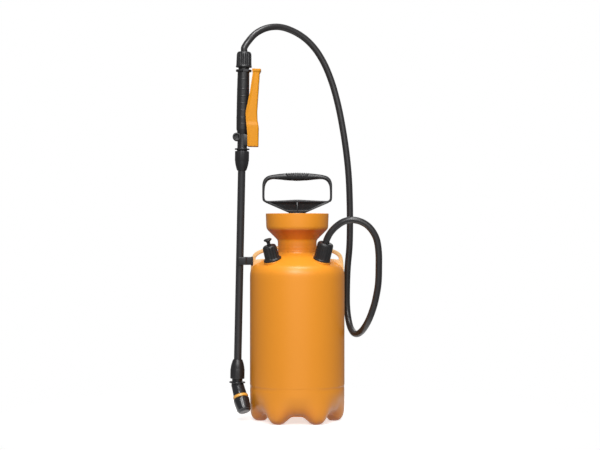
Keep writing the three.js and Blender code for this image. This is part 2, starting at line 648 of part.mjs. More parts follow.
const hoseCurve = new THREE.CatmullRomCurve3([
  hoseStart(OUTLET_NUT_TOP + 0.4), hoseStart(OUTLET_NUT_TOP + 6), ...HOSE_ROUTE,
  hoseEnd(HOSE_NUT.top + 7), hoseEnd(HOSE_NUT.top + 0.4),
], false, 'centripetal');
part('hose', bar(hoseCurve, HOSE_R, 50, 8), HOSE_BLACK, body);

export default sprayer;
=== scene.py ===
# %% [markdown]
# # A compression sprayer
# The sprayer is an orange blow-moulded tank with a hand pump in its neck. A black hose joins the
# tank to a lance with a squeeze trigger, and the lance hangs on a clip beside the tank.
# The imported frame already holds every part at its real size. This lesson gives the parts that
# show a finer skin, worked out with numpy, and gives every part a finish.

import bmesh
import bpy
import numpy as np
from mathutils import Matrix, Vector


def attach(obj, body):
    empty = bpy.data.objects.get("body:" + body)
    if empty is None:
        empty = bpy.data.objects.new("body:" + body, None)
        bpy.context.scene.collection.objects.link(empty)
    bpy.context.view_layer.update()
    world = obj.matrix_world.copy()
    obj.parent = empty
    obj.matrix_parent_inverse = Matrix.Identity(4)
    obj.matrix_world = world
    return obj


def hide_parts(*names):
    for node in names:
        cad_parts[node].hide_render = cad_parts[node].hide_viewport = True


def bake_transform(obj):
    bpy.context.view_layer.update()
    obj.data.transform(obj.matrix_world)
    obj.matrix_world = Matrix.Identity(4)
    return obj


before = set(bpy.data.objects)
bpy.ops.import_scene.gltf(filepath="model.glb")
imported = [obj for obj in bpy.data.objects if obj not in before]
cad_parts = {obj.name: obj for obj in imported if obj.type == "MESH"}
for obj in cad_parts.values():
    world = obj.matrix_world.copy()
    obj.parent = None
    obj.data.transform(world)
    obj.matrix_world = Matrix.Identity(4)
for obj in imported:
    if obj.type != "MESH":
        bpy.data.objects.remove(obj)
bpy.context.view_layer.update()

# %% [markdown]
# ## Places
# Each group of parts has its own axis: the tank stands upright, the two ports on its shoulder lean
# outwards, the lance leans a little and the nozzle is bent away from it. A place is a turning
# matrix and an origin, in millimetres, so that shapes can be written down along their own axis.

# %% Places of the groups
TANK_X = 20.0
LANCE_X, LANCE_LEAN = -116.0, 1.2
PORT_X, PORT_Y, PORT_Z, PORT_LEAN = 45.5, -46.5, 306.0, 19.5
BEND_Z, NOZZLE_TURN, NOZZLE_LEAN = 70.0, -57.0, 30.0


def turning(axis, degrees):
    """Rotation about an axis n: v·cos a + (n × v)·sin a + n(n·v)(1 − cos a), as a matrix."""
    n = np.array(axis, float) / np.linalg.norm(axis)
    a = np.radians(degrees)
    across = np.array([[0, -n[2], n[1]], [n[2], 0, -n[0]], [-n[1], n[0], 0]])
    return np.eye(3) * np.cos(a) + across * np.sin(a) + np.outer(n, n) * (1 - np.cos(a))


def place(origin, turn=np.eye(3), within=(np.eye(3), np.zeros(3))):
    """A place inside another one: first the inner turn and origin, then the outer ones."""
    return within[0] @ turn, within[0] @ np.array(origin, float) + within[1]


def port(x):
    """A port on the shoulder, leaning away from the tank's axis."""
    outwards = np.array([x, PORT_Y, 0.0])
    return place((x, PORT_Y, PORT_Z), turning(np.cross((0, 0, 1), outwards), PORT_LEAN), TANK)


TANK = place((TANK_X, 0, 0))
OUTLET = port(PORT_X)
RELIEF = port(-PORT_X)
LANCE = place((LANCE_X, 0, 0), turning((0, 1, 0), LANCE_LEAN), TANK)
SWIVEL = place((0, 0, BEND_Z), turning((0, 0, 1), NOZZLE_TURN), LANCE)
NOZZLE = place((0, 0, 0), turning((0, 1, 0), -NOZZLE_LEAN), SWIVEL)
print("outlet at", OUTLET[1], "nozzle at", NOZZLE[1].round(2))

# %% [markdown]
# ## Camera, floor and light
# The sprayer is seen level from the front, from far away, so its uprights stay upright.
# A pale round floor fades out into a white surrounding, which keeps the horizon out of sight. It
# glows a little and throws no light back, so that only a faint shadow is left under the tank.
# Broad lights in front leave the sides of the tank a little darker, as a studio does.

# %% Camera
camera_data = bpy.data.cameras.new("camera")
camera_data.lens = 88
camera_data.sensor_width = 36
camera_data.clip_end = 60
camera = bpy.data.objects.new("camera", camera_data)
camera.location = (0.0253, -2.8, 0.373)
camera.rotation_euler = (np.radians(90), 0, 0)
bpy.context.scene.collection.objects.link(camera)
bpy.context.scene.camera = camera
bpy.context.scene.view_settings.view_transform = "Standard"
print("camera", tuple(camera.location), "lens", camera_data.lens)


# %% Lights and surroundings
def area_light(name, where, towards, size, watts, colour=(1, 1, 1)):
    """A square light at one point that faces another."""
    data = bpy.data.lights.new(name, "AREA")
    data.shape, data.size, data.energy, data.color = "SQUARE", size, watts, colour
    light = bpy.data.objects.new(name, data)
    bpy.context.scene.collection.objects.link(light)
    light.location = where
    aim = np.array(towards, float) - np.array(where, float)
    light.rotation_mode = "QUATERNION"
    light.rotation_quaternion = Vector(aim).to_track_quat("-Z", "Y")
    return light


def fill(node, **values):
    """Set a node's constant inputs. An underscore in a label stands for a space."""
    for label, value in values.items():
        node.inputs[label.replace("_", " ")].default_value = value
    return node


area_light("key", (-0.3, -2.9, 2.2), (0, 0, 0.38), 1.2, 67)
area_light("fill", (1.1, -3.0, 1.9), (0, 0, 0.3), 1.2, 16)
area_light("top", (0.1, -0.7, 2.5), (0, 0, 0.3), 1.0, 36)
area_light("low", (0.1, -2.6, 0.3), (0, 0, 0.05), 2.4, 6)
area_light("back", (0.6, 3.0, 1.8), (0, 0, 0.4), 2.0, 14)

world = bpy.data.worlds.new("surroundings")
bpy.context.scene.world = world
world.use_nodes = True
nodes, links = world.node_tree.nodes, world.node_tree.links
nodes.clear()
seen = fill(nodes.new("ShaderNodeBackground"), Color=(1, 1, 1, 1))
lighting = fill(nodes.new("ShaderNodeBackground"), Color=(1, 0.96, 0.94, 1), Strength=0.26)
ray = nodes.new("ShaderNodeLightPath")
either = nodes.new("ShaderNodeMixShader")
out = nodes.new("ShaderNodeOutputWorld")
links.new(ray.outputs["Is Camera Ray"], either.inputs["Fac"])
links.new(lighting.outputs[0], either.inputs[1])
links.new(seen.outputs[0], either.inputs[2])
links.new(either.outputs[0], out.inputs["Surface"])

# %% Floor
FLOOR_R = 3.0
FADE_START, FADE_END = 0.1, 0.6
FLOOR_GLOW = 0.62
floor_mesh = bpy.data.meshes.new("floor")
turn = np.linspace(0, 2 * np.pi, 96, endpoint=False)
rim = np.stack([FLOOR_R * np.cos(turn), FLOOR_R * np.sin(turn), 0 * turn], -1)
floor_mesh.from_pydata(rim, [], [list(range(96))])
floor = bpy.data.objects.new("floor", floor_mesh)
bpy.context.scene.collection.objects.link(floor)
floor.visible_diffuse = False

floor_paint = bpy.data.materials.new("floor_paint")
floor_paint.use_nodes = True
nodes, links = floor_paint.node_tree.nodes, floor_paint.node_tree.links
paint = fill(nodes["Principled BSDF"], Base_Color=(0.85, 0.85, 0.85, 1), Roughness=0.75,
             Emission_Color=(1, 1, 1, 1), Emission_Strength=FLOOR_GLOW)
where = nodes.new("ShaderNodeTexCoord")
distance = nodes.new("ShaderNodeVectorMath")
distance.operation = "LENGTH"
fade = fill(nodes.new("ShaderNodeMapRange"), From_Min=FADE_START, From_Max=FADE_END,
            To_Min=1, To_Max=0)
fade.interpolation_type = "SMOOTHSTEP"
links.new(where.outputs["Object"], distance.inputs[0])
links.new(distance.outputs["Value"], fade.inputs["Value"])
links.new(fade.outputs["Result"], paint.inputs["Alpha"])
floor_mesh.materials.append(floor_paint)
print("floor radius", FLOOR_R)

# %% [markdown]
# ## Surfaces as grids
# Every new skin is a grid of points: the columns run round a shape and the rows run along it.
# A turned part is a profile of radius and height carried round an axis. A plate is an outline
# carried from one face to the other, drawn in at both rims so that its edges are round.

# %% Outlines and profiles
MM = 0.001


def rounded(points, radius, steps=4, closed=True):
    """Corners made round: between S and E on its two sides, corner P becomes the curve
    (1−t)²·S + 2t(1−t)·P + t²·E. S and E lie the radius away from P, at most 45% of the side."""
    p = np.array(points, float)
    r = np.broadcast_to(np.array(radius, float), len(p)).copy()
    if not closed:
        r[[0, -1]] = 0
    back, ahead = np.roll(p, 1, 0) - p, np.roll(p, -1, 0) - p
    long_back, long_ahead = (np.linalg.norm(v, axis=1) + 1e-12 for v in (back, ahead))
    start = p + back * (np.minimum(r, 0.45 * long_back) / long_back)[:, None]
    end = p + ahead * (np.minimum(r, 0.45 * long_ahead) / long_ahead)[:, None]
    t = np.linspace(0, 1, steps + 1)[None, :, None]
    curve = (1 - t) ** 2 * start[:, None] + 2 * t * (1 - t) * p[:, None] + t**2 * end[:, None]
    curve = curve.reshape(-1, p.shape[1])
    return curve[np.linalg.norm(np.diff(curve, axis=0, prepend=curve[:1] - 1), axis=1) > 1e-6]


def finer(points, step):
    """The same line with points added so that they are at most about a step apart."""
    p = np.array(points, float)
    along = np.r_[0, np.cumsum(np.linalg.norm(np.diff(p, axis=0), axis=1))]
    wanted = np.unique(np.r_[along, np.arange(0, along[-1], step)].round(6))
    return np.stack([np.interp(wanted, along, p[:, k]) for k in range(p.shape[1])], -1)


def smooth(x, low, high):
    """0 below low, 1 above high and t²(3 − 2t) between them."""
    t = np.clip((x - low) / (high - low), 0, 1)
    return t * t * (3 - 2 * t)


print("a rounded square has", len(rounded([(0, 0), (9, 0), (9, 9), (0, 9)], 2)), "points")


# %% Grids
def surface(grid, loop=False, caps=False):
    """Points and faces of a grid whose columns run round. The rows close on themselves with loop,
    and caps shuts the first and the last row with one face each."""
    rows, columns = grid.shape[:2]
    index = np.arange(rows * columns).reshape(rows, columns)
    low = index if loop else index[:-1]
    high = np.roll(index, -1, 0) if loop else index[1:]
    quads = np.stack([low, np.roll(low, -1, 1), np.roll(high, -1, 1), high], -1)
    faces = quads.reshape(-1, 4).tolist()
    if caps:
        faces += [index[0, ::-1].tolist(), index[-1].tolist()]
    return grid.reshape(-1, 3), faces


def turned(profile, sides=64, rule=None, angles=None):
    """Point (r, z) of the profile at angle a lies at (r·cos a, r·sin a, z). A rule may change
    r and z by where the point is. A profile that keeps off the axis closes on itself."""
    p = np.array(profile, float)
    a = np.linspace(0, 2 * np.pi, sides, endpoint=False) if angles is None else angles
    r, a, z = np.broadcast_arrays(p[:, :1], a[None], p[:, 1:])
    if rule:
        r, z = rule(r, a, z)
    grid = np.stack([r * np.cos(a), r * np.sin(a), z], -1)
    return surface(grid, loop=p[0, 0] > 1e-6)


def along_x(shape):
    """A shape turned about Z, laid down so that its Z runs along +X."""
    points, faces = shape
    return points[:, [2, 1, 0]] * (1, 1, -1), faces


def along_y(shape):
    """A shape turned about Z, laid down so that its Z runs along +Y."""
    points, faces = shape
    return points[:, [0, 2, 1]] * (1, 1, -1), faces


def moved(shape, x=0, y=0, z=0):
    """The same shape further along."""
    return shape[0] + (x, y, z), shape[1]


def inset(outline, amount):
    """An outline drawn inwards: each corner moves along the sum of its two sides' normals."""
    p = np.array(outline, float)
    side = np.roll(p, -1, 0) - p
    side /= np.linalg.norm(side, axis=1)[:, None] + 1e-12
    normal = np.stack([-side[:, 1], side[:, 0]], -1)
    area = np.sum(p[:, 0] * np.roll(p[:, 1], -1) - p[:, 1] * np.roll(p[:, 0], -1))
    both = normal + np.roll(normal, 1, 0)
    both /= np.maximum(np.sum(both * both, axis=1) / 2, 0.3)[:, None]
    return p + both * amount * np.sign(area)


def plate(outline, low, high, rim=0.8, steps=3, upright=True):
    """An outline carried from low to high. Over the last rim of the way each face draws in by
    rim·(1 − sin f) while it rises by rim·(1 − cos f). Upright plates have Y across them."""
    f = np.linspace(0, np.pi / 2, steps + 1)
    shrink, rise = rim * (1 - np.sin(f)), rim * (1 - np.cos(f))
    levels = np.r_[low + rise, (high - rise)[::-1]]
    rows = np.stack([inset(outline, s) for s in np.r_[shrink, shrink[::-1]]])
    height = np.broadcast_to(levels[:, None, None], rows.shape[:2] + (1,))
    if upright:
        grid = np.concatenate([rows[..., :1], height, rows[..., 1:]], -1)
    else:
        grid = np.concatenate([rows, height], -1)
    return surface(grid, caps=True)


def flutes(count, depth, low, high, least, width=0.5, fade=1.5):
    """Grooves down the outside: r loses depth·g, where g is a rounded notch repeated round the
    part, faded in over the ends of the stretch from low to high."""

    def rule(r, a, z):
        phase = np.abs(((a * count / (2 * np.pi) + 0.25) % 1) - 0.5) * 2
        notch = 1 - smooth(phase, 0, width)
        on = smooth(z, low - fade, low + fade) * (1 - smooth(z, high - fade, high + fade))
        return np.where(r > least, r - depth * notch * on, r), z

    return rule


print("helpers for turned parts, plates and flutes are ready")


def piece(name, shapes, at, body, node, material, sharp=35, move=True):
    """Shapes, each a closed skin, become one mesh in the frame's metres: doubles are merged,
    faces turned outwards, and edges sharper than the given angle kept sharp. The piece stands
    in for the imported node, and its slot goes with its finish."""
    points, faces, count = [], [], 0
    for shape_points, shape_faces in shapes:
        points.append(shape_points)
        faces += [[i + count for i in f] for f in shape_faces]
        count += len(shape_points)
    world_points = (np.concatenate(points) @ at[0].T + at[1]) * MM
    mesh = bpy.data.meshes.new(name)
    mesh.from_pydata(world_points, [], faces)
    tidy = bmesh.new()
    tidy.from_mesh(mesh)
    bmesh.ops.remove_doubles(tidy, verts=tidy.verts, dist=2e-6)
    bmesh.ops.dissolve_degenerate(tidy, edges=tidy.edges, dist=1e-7)
    bmesh.ops.recalc_face_normals(tidy, faces=tidy.faces)
    tidy.to_mesh(mesh)
    tidy.free()
    mesh.shade_smooth()
    mesh.set_sharp_from_angle(angle=np.radians(sharp))
    mesh.materials.append(material)
    made = bpy.data.objects.new(name, mesh)
    bpy.context.scene.collection.objects.link(made)
    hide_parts(node)
    if move:
        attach(made, body)
    print(name, len(mesh.polygons), "faces")
    return made


# %% [markdown]
# ## Finishes
# The real surfaces are moulded plastics, so each has a fine grain from its mould, a slow drift of
# tone where the plastic flowed, and faint scuffs that catch the light. These three effects are
# node groups, built once. A finish then sets its own colour, scale and strength.


# %% Node group helper
def new_group(name, inputs, outputs):
    """An empty shader node group with float or colour sockets, and its two end nodes."""
    group = bpy.data.node_groups.new(name, "ShaderNodeTree")
    for label, kind, value in inputs:
        socket = group.interface.new_socket(name=label, in_out="INPUT", socket_type=kind)
        socket.default_value = value
    for label, kind in outputs:
        group.interface.new_socket(name=label, in_out="OUTPUT", socket_type=kind)
    return group, group.nodes.new("NodeGroupInput"), group.nodes.new("NodeGroupOutput")


FLOAT, COLOUR = "NodeSocketFloat", "NodeSocketColor"


def maths(tree, operation, first, second):
    """A Math node on two values or sockets; returns its result."""
    node = tree.nodes.new("ShaderNodeMath")
    node.operation = operation
    for socket, value in zip(node.inputs, (first, second)):
        if hasattr(value, "is_linked"):
            tree.links.new(value, socket)
        else:
            socket.default_value = value
    return node.outputs[0]


def noise(tree, scale, detail=3.0, stretch=(1, 1, 1)):
    """Noise on the piece's own object coordinates, from 0 to 1."""
    spot = tree.nodes.new("ShaderNodeTexCoord")
    mapping = fill(tree.nodes.new("ShaderNodeMapping"), Scale=stretch)
    node = fill(tree.nodes.new("ShaderNodeTexNoise"), Detail=detail)
    if hasattr(scale, "is_linked"):
        tree.links.new(scale, node.inputs["Scale"])
    else:
        fill(node, Scale=scale)
    tree.links.new(spot.outputs["Object"], mapping.inputs["Vector"])
    tree.links.new(mapping.outputs["Vector"], node.inputs["Vector"])
    return node.outputs["Fac"]


# %% Mould grain
grain_group, start, end = new_group(
    "mould_grain",
    [("Scale", FLOAT, 900.0), ("Depth", FLOAT, 0.5), ("Waviness", FLOAT, 0.3)],
    [("Height", FLOAT)],
)
fine = maths(grain_group, "MULTIPLY", noise(grain_group, start.outputs["Scale"]),
             start.outputs["Depth"])
wave = maths(grain_group, "MULTIPLY", noise(grain_group, 26.0, 1.0), start.outputs["Waviness"])
grain_group.links.new(maths(grain_group, "ADD", fine, wave), end.inputs["Height"])

# %% Tone drift
drift_group, start, end = new_group(
    "tone_drift",
    [("Colour", COLOUR, (1, 1, 1, 1)), ("Scale", FLOAT, 12.0), ("Amount", FLOAT, 0.1)],
    [("Colour", COLOUR)],
)
cloud = noise(drift_group, start.outputs["Scale"], 3.0, (1, 1, 0.35))
swing = maths(drift_group, "MULTIPLY", maths(drift_group, "SUBTRACT", cloud, 0.5),
              start.outputs["Amount"])
tint = drift_group.nodes.new("ShaderNodeHueSaturation")
drift_group.links.new(maths(drift_group, "ADD", swing, 1.0), tint.inputs["Value"])
drift_group.links.new(start.outputs["Colour"], tint.inputs["Color"])
drift_group.links.new(tint.outputs["Color"], end.inputs["Colour"])

# %% Scuffs
scuff_group, start, end = new_group(
    "scuffs",
    [("Roughness", FLOAT, 0.4), ("Amount", FLOAT, 0.1), ("Scale", FLOAT, 60.0)],
    [("Roughness", FLOAT), ("Mask", FLOAT)],
)
patch = noise(scuff_group, start.outputs["Scale"], 5.0)
lines = noise(scuff_group, maths(scuff_group, "MULTIPLY", start.outputs["Scale"], 4.0), 2.0,
              (1, 1, 0.12))
mask = maths(scuff_group, "MULTIPLY", patch, lines)
lift = maths(scuff_group, "MULTIPLY", maths(scuff_group, "SUBTRACT", mask, 0.25),
             start.outputs["Amount"])
rough = maths(scuff_group, "ADD", start.outputs["Roughness"], lift)
scuff_group.links.new(rough, end.inputs["Roughness"])
scuff_group.links.new(mask, end.inputs["Mask"])
print("groups:", [g.name for g in bpy.data.node_groups])


# %% [markdown]
# A finish places the three groups and joins them to one Principled shader. Values that are the
# same all over are set on the shader itself.


# %% Finish
def use(tree, group, **values):
    """A group's node in a material, with its input values set."""
    node = tree.nodes.new("ShaderNodeGroup")
    node.node_tree = group
    return fill(node, **values)


def finish(name, colour, roughness, grain=900.0, depth=0.4, bump=0.06, drift=0.12,
           scuff=0.2, metallic=0.0, coat=0.0, painted_shade=None, pale=None, shine=0.5):
    """A moulded finish. It can paint shade: a second, darker colour is laid on where the skin's
    own attribute of painted shade says so. Pale is the colour of its faint scuffs, and shine the
    strength of its highlights."""
    material = bpy.data.materials.new(name)
    material.use_nodes = True
    tree = material.node_tree
    shader = fill(tree.nodes["Principled BSDF"], Metallic=metallic, Coat_Weight=coat,
                  Coat_Roughness=0.25, Specular_IOR_Level=shine)
    tone = use(tree, drift_group, Colour=(*colour, 1), Scale=9.0, Amount=drift)
    if painted_shade is not None:
        under = tree.nodes.new("ShaderNodeAttribute")
        under.attribute_name = "painted_shade_share"
        blend = tree.nodes.new("ShaderNodeMix")
        blend.data_type = "RGBA"
        fill(blend, A=(*colour, 1), B=(*painted_shade, 1))
        tree.links.new(under.outputs["Fac"], blend.inputs["Factor"])
        tree.links.new(blend.outputs["Result"], tone.inputs["Colour"])
    worn = use(tree, scuff_group, Roughness=roughness, Amount=scuff, Scale=55.0)
    top = tone.outputs["Colour"]
    if pale is not None:
        rub = tree.nodes.new("ShaderNodeMix")
        rub.data_type = "RGBA"
        fill(rub, B=(*pale, 1))
        amount = fill(tree.nodes.new("ShaderNodeMapRange"), From_Min=0.3, From_Max=0.5,
                      To_Max=0.25)
        tree.links.new(worn.outputs["Mask"], amount.inputs["Value"])
        tree.links.new(amount.outputs["Result"], rub.inputs["Factor"])
        tree.links.new(top, rub.inputs["A"])
        top = rub.outputs["Result"]
    tree.links.new(top, shader.inputs["Base Color"])
    tree.links.new(worn.outputs["Roughness"], shader.inputs["Roughness"])
    height = use(tree, grain_group, Scale=grain, Depth=depth)
    relief_node = fill(tree.nodes.new("ShaderNodeBump"), Strength=bump, Distance=MM)
    tree.links.new(height.outputs["Height"], relief_node.inputs["Height"])
    tree.links.new(relief_node.outputs["Normal"], shader.inputs["Normal"])
    return material


# The tank's second, deeper and redder colour is painted shade, laid on by the skin's attribute.
tank_orange = finish("tank_orange", (0.85, 0.305, 0.018), 0.38, 700, 0.5, 0.05, 0.05, 0.12,
                     painted_shade=(0.62, 0.105, 0.012))
# The strap lugs are the tank's own orange made paler and yellower: painted highlight and painted
# light shining through the thin plastic.
painted_highlight_orange = finish("painted_highlight_orange", (0.80, 0.48, 0.19), 0.4, 700, 0.5, 0.06, 0.06, 0.2)
trigger_orange = finish("trigger_orange", (0.68, 0.262, 0.002), 0.4, 1200, 0.3, 0.04, 0.05, 0.15,
                        shine=0.3)
moulded_black = finish("moulded_black", (0.014, 0.014, 0.0155), 0.38, 1100, 0.6, 0.10, 0.3, 0.3,
                       pale=(0.045, 0.045, 0.048))
# The ring is orange plastic; its colour is set paler and creamier than that as a painted highlight.
ring_orange_painted_highlight = finish("ring_orange_painted_highlight", (0.86, 0.42, 0.07), 0.2, 1200, 0.3, 0.04, 0.05, 0.15,
                     coat=0.3)
gloss_black = finish("gloss_black", (0.014, 0.015, 0.018), 0.2, 1400, 0.3, 0.03, 0.2, 0.15,
                     coat=0.15)
tube_black = finish("tube_black", (0.024, 0.024, 0.026), 0.4, 1300, 0.3, 0.05, 0.25, 0.3)
natural = finish("natural_plastic", (0.70, 0.68, 0.60), 0.45, 900, 0.4, 0.08, 0.1, 0.2)
black_rubber = finish("black_rubber", (0.015, 0.015, 0.016), 0.75, 1600, 0.8, 0.2, 0.3, 0.2)
bright_steel = finish("bright_steel", (0.56, 0.57, 0.59), 0.28, 1500, 0.3, 0.03, 0.1, 0.3, 1.0)
print("finishes:", len(bpy.data.materials))

# %% [markdown]
# ## Hose
# The hose is one length of tube with a round section. It leaves the nut on the right shoulder,
# arches over to the right, falls in a long loop beside the tank, rises behind it and comes down
# into the nut on the lance. Its line is a smooth curve through settled points, and the tube is a
# circle carried along that line without twisting.

# %% Line of the hose
HOSE_R = 6.3
ROUTE = np.array([
    (62, -60.5, 358.5), (72, -62.5, 369.5), (86, -65, 379), (101, -67, 382.5), (116.5, -67.5, 380),
    (130.5, -67, 372.5), (141.5, -66.5, 360), (148.5, -65.5, 345), (152, -64, 322),
    (152.5, -62, 298), (151.5, -58.5, 263), (147, -54, 235), (142.5, -50, 217),
    (134.5, -45, 195), (125.5, -31.5, 177.5), (117, -11.5, 167), (112, 2, 165),
    (107.5, 15.5, 167), (102, 35.5, 177.5), (98.5, 49, 195), (96.5, 54, 217), (96.5, 55, 250),
    (98, 55, 290), (101.5, 55, 330), (102.5, 55, 373), (102, 55, 421), (100, 55, 468),
    (95.5, 56, 514), (88.5, 57, 561), (79.5, 58, 607), (67, 58, 652), (52, 56, 688),
    (35, 53, 715), (15, 48, 735), (-9, 41.5, 749), (-34, 33, 755.5), (-58, 21, 752),
    (-78, 10.5, 741), (-91, 3.5, 727),
]) + (TANK_X, 0, 0)


def at_place(where, x, y, z):
    """A point given in a place, in the row frame's millimetres."""
    return where[0] @ np.array((x, y, z), float) + where[1]


def smooth_line(points, each):
    """Centripetal Catmull-Rom: between two points the curve blends the lines through them and
    their neighbours, with the step in parameter equal to the root of each chord's length."""
    p = np.vstack([2 * points[0] - points[1], points, 2 * points[-1] - points[-2]])
    knots = np.r_[0, np.cumsum(np.sqrt(np.linalg.norm(np.diff(p, axis=0), axis=1)))]
    k = np.arange(len(points) - 1)[:, None]
    share = np.linspace(0, 1, each, endpoint=False)[None]
    t = (knots[k + 1] + share * (knots[k + 2] - knots[k + 1]))[..., None]
    k0, k1, k2, k3 = (knots[k + i][..., None] for i in range(4))
    p0, p1, p2, p3 = (p[k + i] for i in range(4))
    a1 = (k1 - t) / (k1 - k0) * p0 + (t - k0) / (k1 - k0) * p1
    a2 = (k2 - t) / (k2 - k1) * p1 + (t - k1) / (k2 - k1) * p2
    a3 = (k3 - t) / (k3 - k2) * p2 + (t - k2) / (k3 - k2) * p3
    b1 = (k2 - t) / (k2 - k0) * a1 + (t - k0) / (k2 - k0) * a2
    b2 = (k3 - t) / (k3 - k1) * a2 + (t - k1) / (k3 - k1) * a3
    curve = (k2 - t) / (k2 - k1) * b1 + (t - k1) / (k2 - k1) * b2
    return np.vstack([curve.reshape(-1, 3), points[-1:]])


hose_ends = [at_place(OUTLET, 0, 0, 36.4), at_place(OUTLET, 0, 0, 42)]
lance_ends = [at_place(LANCE, 0, 0, 711), at_place(LANCE, 0, 0, 704.4)]
hose_line = smooth_line(np.vstack([hose_ends, ROUTE, lance_ends]), 8)


# %% Tube along the line
def carried_frames(line):
    """Two directions across a line at each point. The first is carried from point to point and
    made square to the line again, so that it never twists."""
    tangent = np.gradient(line, axis=0)
    tangent /= np.linalg.norm(tangent, axis=1)[:, None]
    side = np.empty_like(tangent)
    side[0] = np.cross(tangent[0], (0, 1, 0))
    side[0] /= np.linalg.norm(side[0])
    for i in range(1, len(line)):
        side[i] = side[i - 1] - tangent[i] * (side[i - 1] @ tangent[i])
        side[i] /= np.linalg.norm(side[i])
    return side, np.cross(tangent, side)


def tube(line, radius, sides=32):
    """The point at angle a round station i lies at line + radius·(side·cos a + up·sin a)."""
    side, up = carried_frames(line)
    a = np.linspace(0, 2 * np.pi, sides, endpoint=False)[None, :, None]
    ring = side[:, None] * np.cos(a) + up[:, None] * np.sin(a)
    return line[:, None] + ring * radius


hose_grid = tube(hose_line, HOSE_R)
hose_rubber = finish("hose_rubber", (0.021, 0.020, 0.021), 0.33, 1500, 0.3, 0.05, 0.25, 0.3,
                     coat=0.15)
hose = piece("hose_tube", [surface(hose_grid, caps=True)], (np.eye(3), np.zeros(3)), "tank",
             "hose", hose_rubber, 60, move=False)
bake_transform(hose)

# %% [markdown]
# ## Tank
# The tank is blow moulded: a parison of soft polyethylene is blown against a cold mould, so every
# edge is round and the wall is even. The skin is one turned profile, outside and inside. Six feet
# are pressed out of its base: between them the base is lifted and drawn in, and shade is painted
# there as a deeper, redder colour. A fine parting line runs up both sides, where the mould opens.

# %% Feet and parting line
FEET, FOOT_TOP, FOOT_LIFT, FOOT_INSET = 6, 56.0, 15.5, 13.0


def valley_share(a):
    """0 on a foot and 1 in the valley between two, by the angle from the nearest foot."""
    half = np.pi / FEET
    off = np.abs(((a + np.pi / 2) % (2 * half)) - half)
    return smooth(off / half, 0.08, 0.82)


def shaped_base(r, a, z):
    """Below the foot's top the height gains lift·v and the radius loses inset·v, where v is the
    valley's share times the share of the way down, to the power 1.5. The parting line adds a
    bell of 0.25 mm, and the ledge above the feet shows at the sides only."""
    v = valley_share(a) * np.clip(1 - z / FOOT_TOP, 0, 1) ** 1.5
    lift = FOOT_LIFT * v * smooth(r, 38, 60)
    drawn = FOOT_INSET * v * smooth(r, 68, 86)
    off_seam = np.abs((a + np.pi / 2) % np.pi - np.pi / 2) * r
    seam = 0.25 * np.exp(-((off_seam / 0.45) ** 2)) * (z > 12) * (z < 290) * (r > 88.5)
    ledge = smooth(np.abs(np.cos(a)), 0.35, 0.6)
    on_ledge = (z > 60) & (z < 69.5) & (r > 88.5)
    eased = np.where(on_ledge, 89.75 + (r - 89.75) * ledge, r)
    return eased - drawn + seam, z + lift


even = np.linspace(0, 2 * np.pi, 216, endpoint=False)
near = np.radians([0.15, 0.3, 0.5, 0.8])
tank_angles = np.unique(np.r_[even, near, -near + 2 * np.pi, np.pi + near, np.pi - near])
print("columns round the tank:", len(tank_angles))

# %% Profile of the tank
outside = rounded(
    [(0, 20), (46, 17), (55, 8), (61, 0.2), (75, 0), (82.5, 2.8), (87.6, 10), (89.7, 22),
     (89.7, 61.5), (89.4, 62.8), (89.4, 67.6), (90, 69), (90, 276), (89.4, 283), (88, 288),
     (85.8, 292.7), (82, 297), (66, 306), (50, 313), (40, 317.5), (37, 321), (37, 324.2),
     (36.8, 325.4), (36.8, 327.2), (37, 328.4), (37, 331), (36.85, 332.2), (36.85, 334),
     (37, 335.2), (37, 344), (59, 366), (60, 395)],
    [0, 8, 6, 4, 5, 4, 5, 8, 2, 1, 1, 1, 8, 5, 4, 4, 6, 8, 8, 5, 4, 1, 1, 1, 1, 1, 1, 1, 1,
     4, 5, 0], closed=False)
inside = rounded(
    [(57.4, 395), (56.5, 367.5), (39, 350), (33.5, 350), (33.5, 321), (38.5, 314.8), (49.5, 310.3),
     (65, 303.4), (80.3, 294.6), (86, 285.5), (87.5, 276), (86.9, 50), (86.9, 21), (84.5, 9),
     (76.4, 2.5), (62.2, 2.5), (57, 10), (48, 19.2), (0, 22.5)],
    [0, 4, 1, 1, 4, 4, 4, 6, 5, 5, 5, 5, 6, 4, 3, 3, 5, 6, 0], closed=False)
rim_roll = rounded([(60, 394), (60, 395), (57.4, 395), (57.4, 394)], 1.2, closed=False)
low_part = finer(outside[outside[:, 1] < 62], 3.0)
tank_profile = np.vstack([low_part, outside[(outside[:, 1] >= 62) & (outside[:, 1] < 394)],
                          rim_roll, inside[inside[:, 1] < 394]])
print("rows of the tank's profile:", len(tank_profile))


# %% Ports on the shoulder
def port_boss():
    """The flat pad and the threaded spigot of one port, as one turned profile. The thread is
    a row of round rings with the pitch of the real one."""
    z = np.linspace(3.5, 13, 60)
    thread = np.stack([10.6 + 0.35 * np.cos(2 * np.pi * z / 2.5), z], -1)
    profile = np.vstack([[(8, -5), (17.2, -5), (17.5, -2), (17.5, 0.6), (17.1, 1.2), (11, 1.2)],
                         thread, [(10.6, 14), (8, 14)]])
    return turned(profile, 48)


def in_tank(shape, where):
    """A shape of the port's place, written in the tank's place."""
    points = shape[0] @ where[0].T + where[1] - (TANK_X, 0, 0)
    return points, shape[1]


tank = piece(
    "tank_shell",
    [turned(tank_profile, rule=shaped_base, angles=tank_angles),
     in_tank(port_boss(), OUTLET), in_tank(port_boss(), RELIEF)],
    TANK, "tank", "tank", tank_orange, 50)
